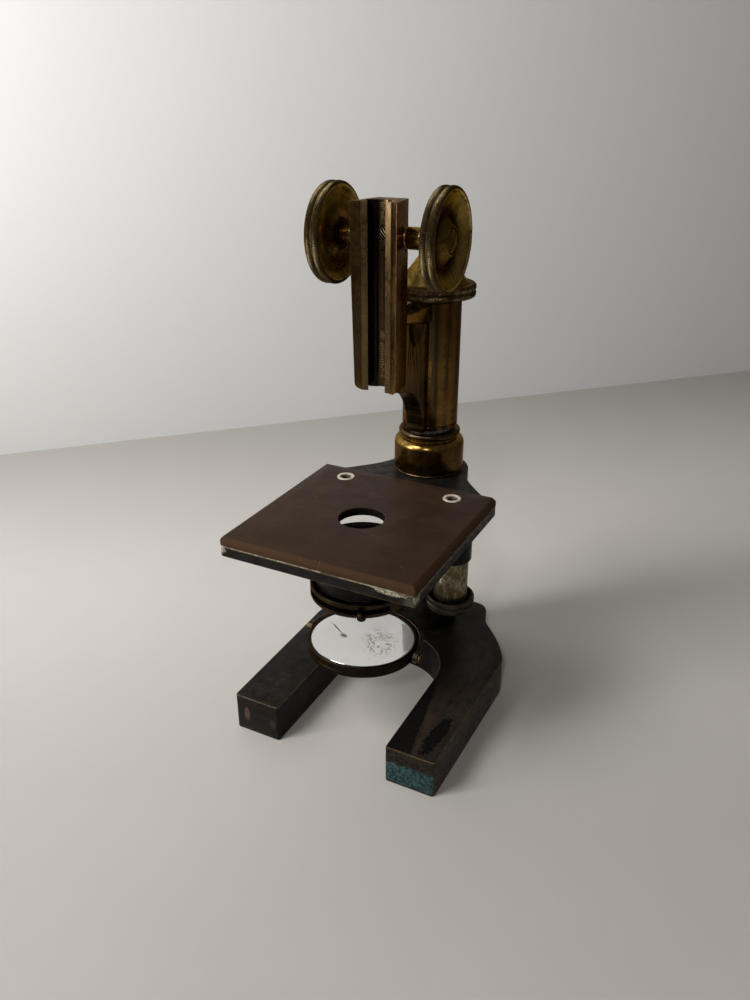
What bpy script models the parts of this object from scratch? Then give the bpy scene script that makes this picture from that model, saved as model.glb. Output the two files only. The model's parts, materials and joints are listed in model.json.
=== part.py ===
"""Antique compound microscope stand with a horseshoe foot.

The origin lies on the ground under the axis of the round column. +Z is up and
-Y is the front, where the stage is. Lengths below are in millimetres and are
turned into metres where the geometry is made.
"""
import math

import bmesh
import bpy
from mathutils import Matrix, Vector

MM = 0.001
GAP = 0.3                      # air between pieces that touch

# ---- driving dimensions, in millimetres ------------------------------------
FOOT_HEIGHT = 18.9
FOOT_HALF_WIDTH = 51.1
FOOT_FRONT = -103.5
PRONG_WIDTH = 23.5
CROTCH_CENTRE = -49.0
HEEL_BACK = 23.6
FOOT_SCREWS = {"left": -9.0, "right": 9.0}
FOOT_SCREW_Y = 4.0

COLUMN_RADIUS = 17.3
STAGE_SIZE = 90.0
STAGE_BACK = -24.4
STAGE_FRONT = -113.5
STAGE_UNDERSIDE = 99.9
PLATE_THICKNESS = 4.7
TOP_THICKNESS = 3.95
TOP_BEVEL = 1.9
BOSS_RADIUS = 19.8
BOSS_TOP = 106.2
STAGE_HOLE_RADIUS = 10.0
PLATE_HOLE_RADIUS = 21.5       # clears the substage sleeve
CLIP_HOLE = (27.3, -35.7)
OPTICAL_Y = -71.1
STAGE_SCREWS = {"front_left": (-36, -104), "front_right": (36, -104),
                "back_left": (-38, -34), "back_right": (38, -34)}

COLLAR_RADIUS = 17.0
COLLAR_TOP = 127.3
PRISM_TOP = 168.0
PLUG_RADIUS = 11.9
PLUG_TOP = 134.5
TAIL_RADIUS = 6.0
TAIL_BOTTOM = 88.0
BARREL_RADIUS = 13.3
BARREL_BOTTOM = 129.3
BARREL_TOP = 189.6
BARREL_BORE = 9.7
NECK_HALF_WIDTH = 4.1

BLOCK_BOTTOM = 161.5
BLOCK_TOP = 236.7
BLOCK_FRONT = -60.3
BLOCK_BACK = -42.2
JAW_ROUNDING = 3.8
PINION_Y = -46.0
PINION_Z = 222.4
PINION_RADIUS = 6.1
PINION_TEETH = 30
TOOTH_DEPTH = 0.8
PINION_HALF = 1.8
POCKET_HALF = 2.2
BUSH_RADIUS = 5.0
KNOB_RADIUS = 20.25
KNOB_INNER = 21.7
KNOB_WIDTH = 6.0
SLEEVE_RADIUS = 4.35

HEAD_RADIUS = 19.5
HEAD_BOTTOM = 190.9

POST_X = 22.4
POST_Y = -20.2
POST_RADIUS = 3.0
NUT_BOTTOM = 42.7
NUT_TOP = 49.4
NUT_RADIUS = 11.8
TUBE_RADIUS = 8.2
HUB_BOTTOM = 69.8
HUB_TOP = 86.0
HUB_RADIUS = 9.5
SLEEVE_TOP = 96.4

IRIS_BOTTOM = 72.3
IRIS_TOP = 79.0
IRIS_RADIUS = 23.3
LEVER_ANGLE = 27.0             # degrees from the front towards +X

MIRROR_Z = 44.8
MIRROR_RADIUS = 25.4
MIRROR_TILT = 2.4              # degrees, the face leans to the back
FORK_RADIUS = 28.0
FORK_WALL = 1.8
STEM_RADIUS = 3.0
STEM_END = -8.0

FINE = 28                      # sides of a large turned piece
SMALL = 16                     # sides of a small turned piece
CUTTER_ROLL = 4.1              # degrees, keeps a bore's corners off its piece's seams
CROWDED = ("coarse_block", "stage_plate", "horseshoe_foot")  # the exact solver leaves these open


# ---- scene and helpers -----------------------------------------------------
def clear_scene():
    for obj in list(bpy.data.objects):
        bpy.data.objects.remove(obj, do_unlink=True)


def new_collection(name):
    collection = bpy.data.collections.new(name)
    bpy.context.scene.collection.children.link(collection)
    return collection


clear_scene()
PARTS = new_collection("microscope_stand")
CUTTERS = new_collection("cutters")
CUTTERS.hide_render = True


def metal(name, colour, roughness, metallic=1.0):
    """A Principled material of one plain colour."""
    mat = bpy.data.materials.new(name)
    mat.use_nodes = True
    shader = mat.node_tree.nodes["Principled BSDF"]
    shader.inputs["Base Color"].default_value = (*colour, 1.0)
    shader.inputs["Roughness"].default_value = roughness
    shader.inputs["Metallic"].default_value = metallic
    return mat


LACQUER = metal("black_lacquer", (0.020, 0.019, 0.018), 0.38, 0.0)
EBONITE = metal("aged_ebonite", (0.085, 0.045, 0.030), 0.45, 0.0)
BRASS = metal("lacquered_brass", (0.36, 0.21, 0.075), 0.32)
POLISHED = metal("polished_brass", (0.58, 0.37, 0.13), 0.22)
KNOB_BRASS = metal("worn_brass", (0.42, 0.31, 0.13), 0.38)
BRONZE = metal("dark_bronze", (0.12, 0.095, 0.065), 0.42)
STEEL = metal("blued_steel", (0.22, 0.22, 0.23), 0.35)
NICKEL = metal("worn_nickel", (0.52, 0.49, 0.40), 0.40)
IVORY = metal("ivory_bushing", (0.62, 0.56, 0.43), 0.50, 0.0)
GLASS = metal("silvered_glass", (0.85, 0.86, 0.86), 0.04)


def shade(obj, angle=35.0):
    obj.data.shade_smooth()
    obj.data.set_sharp_from_angle(angle=math.radians(angle))


def add(obj, mat, collection=None, parent=None):
    """Link an object, give it its material and hang it on a parent empty."""
    (collection or PARTS).objects.link(obj)
    if mat is not None:
        obj.data.materials.clear()
        obj.data.materials.append(mat)
    if parent is not None:
        obj.parent = parent
    return obj


def joint_empty(name, at, parent=None):
    """An empty on a joint's axis, which the moving pieces hang on."""
    empty = bpy.data.objects.new(name, None)
    empty.empty_display_size = 0.01
    empty.location = Vector(at) * MM
    if parent is not None:
        empty.parent = parent
        empty.location -= parent_offset(parent)
    PARTS.objects.link(empty)
    return empty


def parent_offset(parent):
    """World place of an empty whose own parents are only moved, not turned."""
    total = Vector((0.0, 0.0, 0.0))
    while parent is not None:
        total += parent.location
        parent = parent.parent
    return total


def place(obj, at, parent, turn=(0.0, 0.0, 0.0)):
    obj.location = Vector(at) * MM - parent_offset(parent)
    obj.rotation_euler = [math.radians(a) for a in turn]
    return obj


def turned(name, profile, mat, at=(0, 0, 0), turn=(0, 0, 0), sides=FINE, closed=False, parent=None,
           collection=None):
    """A turned piece: (radius, height) pairs down its outer side, spun about Z."""
    mesh = bpy.data.meshes.new(name)
    points = [(r * MM, 0.0, h * MM) for r, h in profile]
    edges = [(i, i + 1) for i in range(len(points) - 1)]
    if closed:
        edges.append((len(points) - 1, 0))
    mesh.from_pydata(points, edges, [])
    obj = add(bpy.data.objects.new(name, mesh), mat, collection, parent)
    screw = obj.modifiers.new("spin", "SCREW")
    screw.steps = sides
    screw.render_steps = sides
    screw.use_merge_vertices = True
    screw.merge_threshold = 0.00001
    screw.use_smooth_shade = True
    return place(obj, at, parent, turn)


def rod(name, radius, low, high, mat, **kw):
    """A plain cylinder from height low to height high of its own axis."""
    return turned(name, [(0, high), (radius, high), (radius, low), (0, low)], mat, **kw)


def ring(name, outer, inner, low, high, mat, **kw):
    """A plain sleeve or washer."""
    profile = [(inner, high), (outer, high), (outer, low), (inner, low)]
    return turned(name, profile, mat, closed=True, **kw)


def plate(name, outlines, low, high, mat, turn=(0, 0, 0), at=(0, 0, 0), parent=None, collection=None):
    """A flat piece: the first outline is the edge, the others are holes."""
    curve = bpy.data.curves.new(name, "CURVE")
    curve.dimensions = "2D"
    curve.fill_mode = "BOTH"
    curve.extrude = (high - low) / 2 * MM
    for outline in outlines:
        spline = curve.splines.new("POLY")
        spline.points.add(len(outline) - 1)
        spline.use_cyclic_u = True
        for point, (x, y) in zip(spline.points, outline):
            point.co = (x * MM, y * MM, 0.0, 1.0)
    source = bpy.data.objects.new(name + "_outline", curve)
    bpy.context.scene.collection.objects.link(source)
    bpy.context.view_layer.update()
    evaluated = source.evaluated_get(bpy.context.evaluated_depsgraph_get())
    mesh = bpy.data.meshes.new_from_object(evaluated)
    bpy.data.objects.remove(source, do_unlink=True)
    tidy = bmesh.new()
    tidy.from_mesh(mesh)
    bmesh.ops.remove_doubles(tidy, verts=tidy.verts, dist=0.000001)
    bmesh.ops.recalc_face_normals(tidy, faces=tidy.faces)
    bmesh.ops.translate(tidy, verts=tidy.verts, vec=(0, 0, (low + high) / 2 * MM))
    tidy.to_mesh(mesh)
    tidy.free()
    obj = add(bpy.data.objects.new(name, mesh), mat, collection, parent)
    return place(obj, at, parent, turn)


def tube(name, points, radius, mat, closed=False, parent=None, sides=2):
    """A wire or round bar along a list of points, made a mesh with welded caps."""
    curve = bpy.data.curves.new(name, "CURVE")
    curve.dimensions = "3D"
    curve.bevel_depth = radius * MM
    curve.bevel_resolution = sides
    curve.use_fill_caps = True
    spline = curve.splines.new("POLY")
    spline.points.add(len(points) - 1)
    spline.use_cyclic_u = closed
    for point, place_mm in zip(spline.points, points):
        point.co = (*(Vector(place_mm) * MM), 1.0)
    source = bpy.data.objects.new(name + "_path", curve)
    bpy.context.scene.collection.objects.link(source)
    bpy.context.view_layer.update()
    evaluated = source.evaluated_get(bpy.context.evaluated_depsgraph_get())
    mesh = bpy.data.meshes.new_from_object(evaluated)
    bpy.data.objects.remove(source, do_unlink=True)
    tidy = bmesh.new()
    tidy.from_mesh(mesh)
    bmesh.ops.remove_doubles(tidy, verts=tidy.verts, dist=0.000001)
    bmesh.ops.recalc_face_normals(tidy, faces=tidy.faces)
    tidy.to_mesh(mesh)
    tidy.free()
    obj = add(bpy.data.objects.new(name, mesh), mat, None, parent)
    obj.location = -parent_offset(parent)
    return obj


def boolean(obj, other, operation):
    """Cut another object away, or join it on. The other one becomes a guide."""
    modifier = obj.modifiers.new(operation.lower(), "BOOLEAN")
    modifier.operation = operation
    modifier.solver = "MANIFOLD" if obj.name in CROWDED else "EXACT"
    modifier.object = other
    other.hide_render = True
    other.display_type = "WIRE"


def drill(obj, radius, start, end, sides=SMALL):
    """A round hole between two points."""
    start = Vector(start)
    along = Vector(end) - start
    name = "{}_bore_{}".format(obj.name, len(obj.modifiers))
    cutter = rod(name, radius, 0, along.length, None, sides=sides, collection=CUTTERS)
    cutter.location = start * MM
    roll = Matrix.Rotation(math.radians(CUTTER_ROLL), 3, "Z")
    aim = Vector((0, 0, 1)).rotation_difference(along).to_matrix()
    cutter.rotation_euler = (aim @ roll).to_euler()
    boolean(obj, cutter, "DIFFERENCE")


def soften(obj, test, width, segments=2):
    """Round the edges that pass a test on their two ends, given in millimetres."""
    mesh = bmesh.new()
    mesh.from_mesh(obj.data)
    edges = [e for e in mesh.edges if test(*(v.co / MM for v in e.verts)) and e.calc_face_angle(0) > 0.2]
    bmesh.ops.bevel(mesh, geom=edges, offset=width * MM, segments=segments, profile=0.5,
                    affect="EDGES", clamp_overlap=True)
    mesh.to_mesh(obj.data)
    mesh.free()


def arc(centre, radius, start, end, count, radius_y=None):
    """Points along an arc, angles in degrees."""
    radius_y = radius_y or radius
    angles = [math.radians(start + (end - start) * i / (count - 1)) for i in range(count)]
    return [(centre[0] + radius * math.cos(a), centre[1] + radius_y * math.sin(a)) for a in angles]


def circle(centre, radius, count=32):
    return arc(centre, radius, 0, 360 * (count - 1) / count, count)


def mirrored(points):
    """The right half of an outline followed by its mirror image."""
    return points + [(-x, y) for x, y in reversed(points)]


def slotted_screw(name, at, turn, head_radius, head_height, shank_radius, shank_length, mat, slot_turn=0.0,
                  parent=None):
    """A cheese-head screw: the head stands on its own origin, the shank runs down from it."""
    profile = [(0, head_height), (head_radius - 0.3, head_height), (head_radius, head_height - 0.3),
               (head_radius, 0), (shank_radius, 0), (shank_radius, -shank_length), (0, -shank_length)]
    screw = turned(name, profile, mat, at=at, turn=turn, sides=12, parent=parent)
    slot_mesh = bpy.data.meshes.new(name + "_slot")
    cube = bmesh.new()
    bmesh.ops.create_cube(cube, size=1.0)
    slot_size = (head_radius * 2.4, head_radius * 0.22, head_height * 0.9)
    bmesh.ops.scale(cube, verts=cube.verts, vec=Vector(slot_size) * MM)
    bmesh.ops.rotate(cube, verts=cube.verts, matrix=Matrix.Rotation(math.radians(slot_turn), 3, "Z"))
    bmesh.ops.translate(cube, verts=cube.verts, vec=(0, 0, head_height * MM))
    cube.to_mesh(slot_mesh)
    cube.free()
    slot = add(bpy.data.objects.new(name + "_slot", slot_mesh), None, CUTTERS)
    slot.parent = screw
    boolean(screw, slot, "DIFFERENCE")
    return screw


# ---- foot and pillar -------------------------------------------------------
def make_foot():
    inner = FOOT_HALF_WIDTH - PRONG_WIDTH
    crotch = arc((0, CROTCH_CENTRE), inner, 90, 0, 11)
    shoulder = [(52.3, -22.7), (51.5, -19.0), (49.4, -14.8), (46.4, -9.6), (42.2, -3.8), (38.0, 1.5)]
    heel = [(33.6, 6.1), (31.6, 9.6), (30.2, 14.3), (28.9, 18.8), (26.2, 22.4), (21.6, HEEL_BACK)]
    right = [(inner, FOOT_FRONT), (FOOT_HALF_WIDTH, FOOT_FRONT)] + shoulder + heel
    left = [(-x, y) for x, y in reversed(right)]
    outline = crotch[1:] + right + left + [(-x, y) for x, y in reversed(crotch)]
    foot = plate("horseshoe_foot", [outline], 0, FOOT_HEIGHT, LACQUER)
    soften(foot, lambda a, b: min(a.z, b.z) > FOOT_HEIGHT - 0.1, 0.6)
    for x in FOOT_SCREWS.values():
        drill(foot, 5.6, (x, FOOT_SCREW_Y, -1), (x, FOOT_SCREW_Y, 5))
        drill(foot, 3.3, (x, FOOT_SCREW_Y, 4), (x, FOOT_SCREW_Y, FOOT_HEIGHT + 1))
    shade(foot)


def make_pillar():
    bottom = FOOT_HEIGHT + GAP
    top = STAGE_UNDERSIDE - GAP
    profile = [(0, top), (COLUMN_RADIUS - 0.5, top), (COLUMN_RADIUS, top - 0.5),
               (COLUMN_RADIUS, bottom), (0, bottom)]
    pillar = turned("pillar", profile, LACQUER)
    for x in FOOT_SCREWS.values():
        drill(pillar, 3.0, (x, FOOT_SCREW_Y, bottom - 1), (x, FOOT_SCREW_Y, 35))
    drill(pillar, TAIL_RADIUS + GAP, (0, 0, TAIL_BOTTOM - 2), (0, 0, top + 1))
    drill(pillar, STEM_RADIUS + GAP, (0, -COLUMN_RADIUS - 1, MIRROR_Z), (0, STEM_END + 5, MIRROR_Z))
    for side, x in FOOT_SCREWS.items():
        slotted_screw("foot_screw_" + side, (x, FOOT_SCREW_Y, 4.7), (180, 0, 0), 5.2, 3.2, 2.7, 28.0, STEEL)


# ---- stage -----------------------------------------------------------------
def make_stage():
    half = STAGE_SIZE / 2
    plate_top = STAGE_UNDERSIDE + PLATE_THICKNESS
    square = [(half, STAGE_FRONT), (half, STAGE_BACK), (-half, STAGE_BACK), (-half, STAGE_FRONT)]
    cove = [(41.5, STAGE_BACK), (37.0, -21.6), (33.0, -17.6), (28.0, -12.2), (24.4, -8.2), (21.2, -3.0)]
    boss = arc((0, 0), BOSS_RADIUS, 0, 90, 9)
    bracket = mirrored(cove + boss[:-1])
    base = plate("stage_plate", [square, circle((0, OPTICAL_Y), PLATE_HOLE_RADIUS, FINE)],
                 STAGE_UNDERSIDE, plate_top, LACQUER)
    raised = plate("stage_bracket", [[(x, max(y, STAGE_BACK)) for x, y in bracket]],
                   STAGE_UNDERSIDE, BOSS_TOP, None, collection=CUTTERS)
    raised.location.y += GAP * MM
    bridge = plate("stage_bridge", [[(37, STAGE_BACK - 6), (37, STAGE_BACK + 4), (-37, STAGE_BACK + 4),
                                     (-37, STAGE_BACK - 6)]],
                   STAGE_UNDERSIDE, plate_top, None, collection=CUTTERS)
    boolean(base, raised, "UNION")
    boolean(base, bridge, "UNION")
    drill(base, TAIL_RADIUS + GAP, (0, 0, STAGE_UNDERSIDE - 1), (0, 0, BOSS_TOP + 1))
    for side in (-1, 1):
        x, y = side * CLIP_HOLE[0], CLIP_HOLE[1]
        drill(base, 2.2, (x, y, STAGE_UNDERSIDE - 1), (x, y, plate_top + 1))

    top_low = plate_top + GAP
    top_high = top_low + TOP_THICKNESS
    top = plate("stage_top", [square, circle((0, OPTICAL_Y), STAGE_HOLE_RADIUS, 28)],
                top_low, top_high, EBONITE)
    rim = half - 0.1
    soften(top, lambda a, b: min(a.z, b.z) > top_high - 0.1 and (max(abs(a.x), abs(b.x)) > rim), TOP_BEVEL, 1)
    for side, label in ((-1, "left"), (1, "right")):
        x, y = side * CLIP_HOLE[0], CLIP_HOLE[1]
        drill(top, 4.5, (x, y, top_low - 1), (x, y, top_high + 1), 20)
        ring("clip_bushing_" + label, 4.2, 1.9, top_low, top_high + 0.3, IVORY, at=(x, y, 0), sides=20)
    for label, (x, y) in STAGE_SCREWS.items():
        drill(base, 3.0, (x, y, STAGE_UNDERSIDE - 1), (x, y, STAGE_UNDERSIDE + 1.9))
        drill(base, 1.6, (x, y, STAGE_UNDERSIDE + 1), (x, y, plate_top + 1))
        drill(top, 1.6, (x, y, top_low - 1), (x, y, top_high - 1.2))
        slotted_screw("stage_screw_" + label, (x, y, STAGE_UNDERSIDE + 1.6), (180, 0, 0), 2.7, 1.4, 1.3,
                      5.2, STEEL)


# ---- column: collar, prism bar, spring -------------------------------------
def make_column():
    bottom = BOSS_TOP + GAP
    bore = PLUG_RADIUS + GAP
    shoulder = [(COLLAR_RADIUS, 121.2), (16.6, 122.5), (15.4, 123.3), (14.2, 123.6)]
    lip = [(14.0, 124.2), (14.8, 125.0), (15.0, 126.0), (14.7, 126.8), (14.1, COLLAR_TOP)]
    profile = [(bore, COLLAR_TOP)] + lip[::-1] + shoulder[::-1]
    profile += [(COLLAR_RADIUS, bottom), (bore, bottom)]
    turned("column_collar", profile, POLISHED, closed=True)

    plug = [(0, PLUG_TOP), (PLUG_RADIUS - 0.6, PLUG_TOP), (PLUG_RADIUS, PLUG_TOP - 0.6),
            (PLUG_RADIUS, bottom), (TAIL_RADIUS, bottom), (TAIL_RADIUS, TAIL_BOTTOM), (0, TAIL_BOTTOM)]
    bar = turned("prism_bar", plug, STEEL)
    triangle = plate("prism_bar_upper", [circle((0, 0), BARREL_BORE - 0.5, 3)], 130, PRISM_TOP, None,
                     collection=CUTTERS, turn=(0, 0, 90))
    boolean(bar, triangle, "UNION")

    ring("prism_end_plate", 8.4, 2.9, PRISM_TOP + GAP, PRISM_TOP + 2.0, STEEL, sides=20)
    turns, steps, low, high = 5, 10, PRISM_TOP + 3.0, BARREL_TOP - 5.6
    count = turns * steps
    coil = [(5.7 * math.cos(math.tau * i / steps), 5.7 * math.sin(math.tau * i / steps),
             low + (high - low) * i / count) for i in range(count + 1)]
    tube("fine_focus_spring", coil, 0.55, STEEL)


# ---- limb: barrel with its neck, dovetail block ----------------------------
def make_limb():
    limb = joint_empty("fine_focus_slide", (0, 0, BARREL_BOTTOM))
    cap_low = BARREL_TOP - 3.6
    mouth = PLUG_RADIUS + 0.5
    step = PLUG_TOP + 3.0
    profile = [(BARREL_BORE, BARREL_TOP), (BARREL_RADIUS, BARREL_TOP), (BARREL_RADIUS, BARREL_BOTTOM),
               (mouth, BARREL_BOTTOM), (mouth, step), (BARREL_BORE, step)]
    barrel = turned("barrel", profile, BRASS, closed=True, parent=limb)
    ring("barrel_cap", BARREL_BORE - GAP, 2.8, cap_low, BARREL_TOP, STEEL, sides=20, parent=limb)
    back = BLOCK_BACK + GAP
    wall = -(PLUG_RADIUS + 0.7)
    cove = arc((back + 1.4, 130.0), 22.8, 90, 10, 9, 26.0)
    pad = [(-17.6, 134.4), (-17.6, 130.0), (wall, 130.0)]
    side_view = [(wall, BARREL_TOP), (back, BARREL_TOP)] + cove + pad
    web = plate("barrel_neck", [side_view], -NECK_HALF_WIDTH, NECK_HALF_WIDTH, None, collection=CUTTERS)
    web.rotation_euler = (math.radians(90), 0, math.radians(90))
    boolean(barrel, web, "UNION")

    groove = arc((0, BLOCK_FRONT + 8.9), 3.0, 20, 90, 4, 1.6)
    block_plan = mirrored([(6.7, BLOCK_BACK), (10.3, BLOCK_FRONT), (6.7, BLOCK_FRONT + 2.5),
                           (3.7, BLOCK_FRONT + 3.1), (6.9, BLOCK_FRONT + 8.4), (3.6, BLOCK_FRONT + 9.0)]
                          + groove[:-1])
    block = plate("coarse_block", [block_plan], BLOCK_BOTTOM, BLOCK_TOP, BRASS, parent=limb)
    corner = arc((11.0 - JAW_ROUNDING, BLOCK_BOTTOM + JAW_ROUNDING), JAW_ROUNDING, -90, 0, 6)
    front_view = [(x, z) for x, z in corner] + [(11.0, BLOCK_TOP + 1)]
    keep = plate("coarse_block_front", [mirrored(front_view)], -(BLOCK_BACK + 1), -(BLOCK_FRONT - 1), None,
                 turn=(90, 0, 0), collection=CUTTERS)
    boolean(block, keep, "INTERSECT")

    for radius, half in ((PINION_RADIUS + 0.5, POCKET_HALF), (BUSH_RADIUS + GAP, 12)):
        drill(block, radius, (-half, PINION_Y, PINION_Z), (half, PINION_Y, PINION_Z), 20)

    cap_front = BLOCK_BACK + GAP
    cap = plate("pinion_cap", [[(4.3, cap_front), (4.3, cap_front + 4.4), (-4.3, cap_front + 4.4),
                                (-4.3, cap_front)]], PINION_Z - 12, PINION_Z + 12, BRASS, parent=limb)
    soften(cap, lambda a, b: a.y > cap_front + 4.3 and b.y > cap_front + 4.3, 0.8, 1)
    drill(cap, PINION_RADIUS + 0.5, (-6, PINION_Y, PINION_Z), (6, PINION_Y, PINION_Z), 20)
    for label, z in (("upper", PINION_Z + 9.2), ("lower", PINION_Z - 9.2)):
        drill(cap, 1.5, (0, cap_front - 1, z), (0, cap_front + 6, z), 16)
        drill(block, 1.5, (0, BLOCK_BACK + 1, z), (0, BLOCK_BACK - 5, z), 16)
        slotted_screw("pinion_cap_screw_" + label, (0, cap_front + 4.7, z), (-90, 0, 0), 2.2, 1.2, 1.2, 7.4,
                      STEEL, slot_turn=30, parent=limb)
    for label, side in (("left", -1), ("right", 1)):
        ring("pinion_bush_" + label, BUSH_RADIUS, 2.3, POCKET_HALF, 7.3, BRASS, turn=(0, 90 * side, 0),
             at=(0, PINION_Y, PINION_Z), sides=20, parent=limb)
    return limb


# ---- coarse drive ----------------------------------------------------------
def gear_outline(radius, depth, teeth):
    points = []
    for i in range(teeth):
        for share, r in ((0.0, radius - depth), (0.22, radius - depth), (0.36, radius), (0.62, radius),
                         (0.78, radius - depth)):
            angle = math.tau * (i + share) / teeth
            if share < 0.78:
                points.append((r * math.cos(angle), r * math.sin(angle)))
    return points


def make_coarse_drive(limb):
    drive = joint_empty("coarse_drive", (0, PINION_Y, PINION_Z), limb)
    axis = (0, PINION_Y, PINION_Z)
    outlines = [gear_outline(PINION_RADIUS, TOOTH_DEPTH, PINION_TEETH), circle((0, 0), 2.3, SMALL)]
    pinion = plate("pinion", outlines, -PINION_HALF, PINION_HALF, STEEL, parent=drive, at=axis,
                   turn=(0, 90, 0))
    shade(pinion)
    shaft_end = KNOB_INNER + 4.0
    rod("pinion_shaft", 2.0, -shaft_end, shaft_end, STEEL, at=axis, turn=(0, 90, 0), sides=SMALL,
        parent=drive)
    for label, side in (("left", -1), ("right", 1)):
        turn = (0, 90 * side, 0)
        sleeve_profile = [(2.3, KNOB_INNER - 1.2), (SLEEVE_RADIUS, KNOB_INNER - 1.2), (SLEEVE_RADIUS, 8.0),
                          (SLEEVE_RADIUS - 0.4, 7.6), (2.3, 7.6)]
        turned("knob_sleeve_" + label, sleeve_profile, POLISHED, closed=True, at=axis, turn=turn, sides=20,
               parent=drive)
        turned("coarse_knob_" + label, knob_profile(), KNOB_BRASS, closed=True, at=axis, turn=turn,
               parent=drive)
        slotted_screw("knob_screw_" + label, (side * (KNOB_INNER + 4.4), PINION_Y, PINION_Z), turn, 4.6, 1.5,
                      0.9, 0.05, KNOB_BRASS, slot_turn=60, parent=drive)
    return drive


def knob_profile():
    """Half section of a milled knob, heights measured along the shaft."""
    near, far = KNOB_INNER, KNOB_INNER + KNOB_WIDTH
    rim = KNOB_RADIUS
    middle = (near + far) / 2
    outer_dish = [(4.9, far - 1.9), (4.9, far - 0.3), (5.3, far - 0.3), (9.6, far - 4.0), (11.4, far - 4.1),
                  (17.6, far - 1.2), (18.6, far)]
    beads = [(rim - 0.4, far), (rim, far - 0.5), (rim, middle + 0.5), (rim - 0.9, middle),
             (rim, middle - 0.5), (rim, near + 0.5), (rim - 0.4, near)]
    inner_dish = [(18.4, near), (17.4, near + 0.9), (9.0, near + 0.6), (7.4, near - 0.9), (2.3, near - 0.9)]
    return [(2.3, far - 1.9)] + outer_dish + beads + inner_dish


# ---- fine focus ------------------------------------------------------------
def make_fine_head():
    axis = joint_empty("fine_focus_screw", (0, 0, HEAD_BOTTOM))
    screw_profile = [(0, 205.6), (2.5, 205.6), (2.5, 172.0), (1.4, 170.6), (1.4, PRISM_TOP + GAP + 0.5),
                     (0.6, PRISM_TOP + GAP), (0, PRISM_TOP + GAP)]
    turned("micrometer_screw", screw_profile, STEEL, sides=SMALL, at=(0, 0, 0), parent=axis)
    low, rim = HEAD_BOTTOM, HEAD_RADIUS
    outside = [(1.6, 212.4), (3.4, 212.4), (4.6, 211.4), (15.7, low + 6.4), (16.6, low + 5.9),
               (18.6, low + 5.9), (rim, low + 5.3), (rim, low + 3.5), (rim - 0.9, low + 2.9),
               (rim, low + 2.3), (rim, low + 0.5), (rim - 0.5, low)]
    inside = [(15.2, low), (15.2, low + 2.6), (2.8, low + 2.6), (2.8, 206.4), (1.6, 206.4)]
    turned("fine_focus_head", outside + inside, KNOB_BRASS, closed=True, parent=axis)
    slotted_screw("head_cap_screw", (0, 0, 212.7), (0, 0, 0), 3.0, 1.2, 1.3, 6.0, BRONZE, slot_turn=20,
                  parent=axis)


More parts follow.
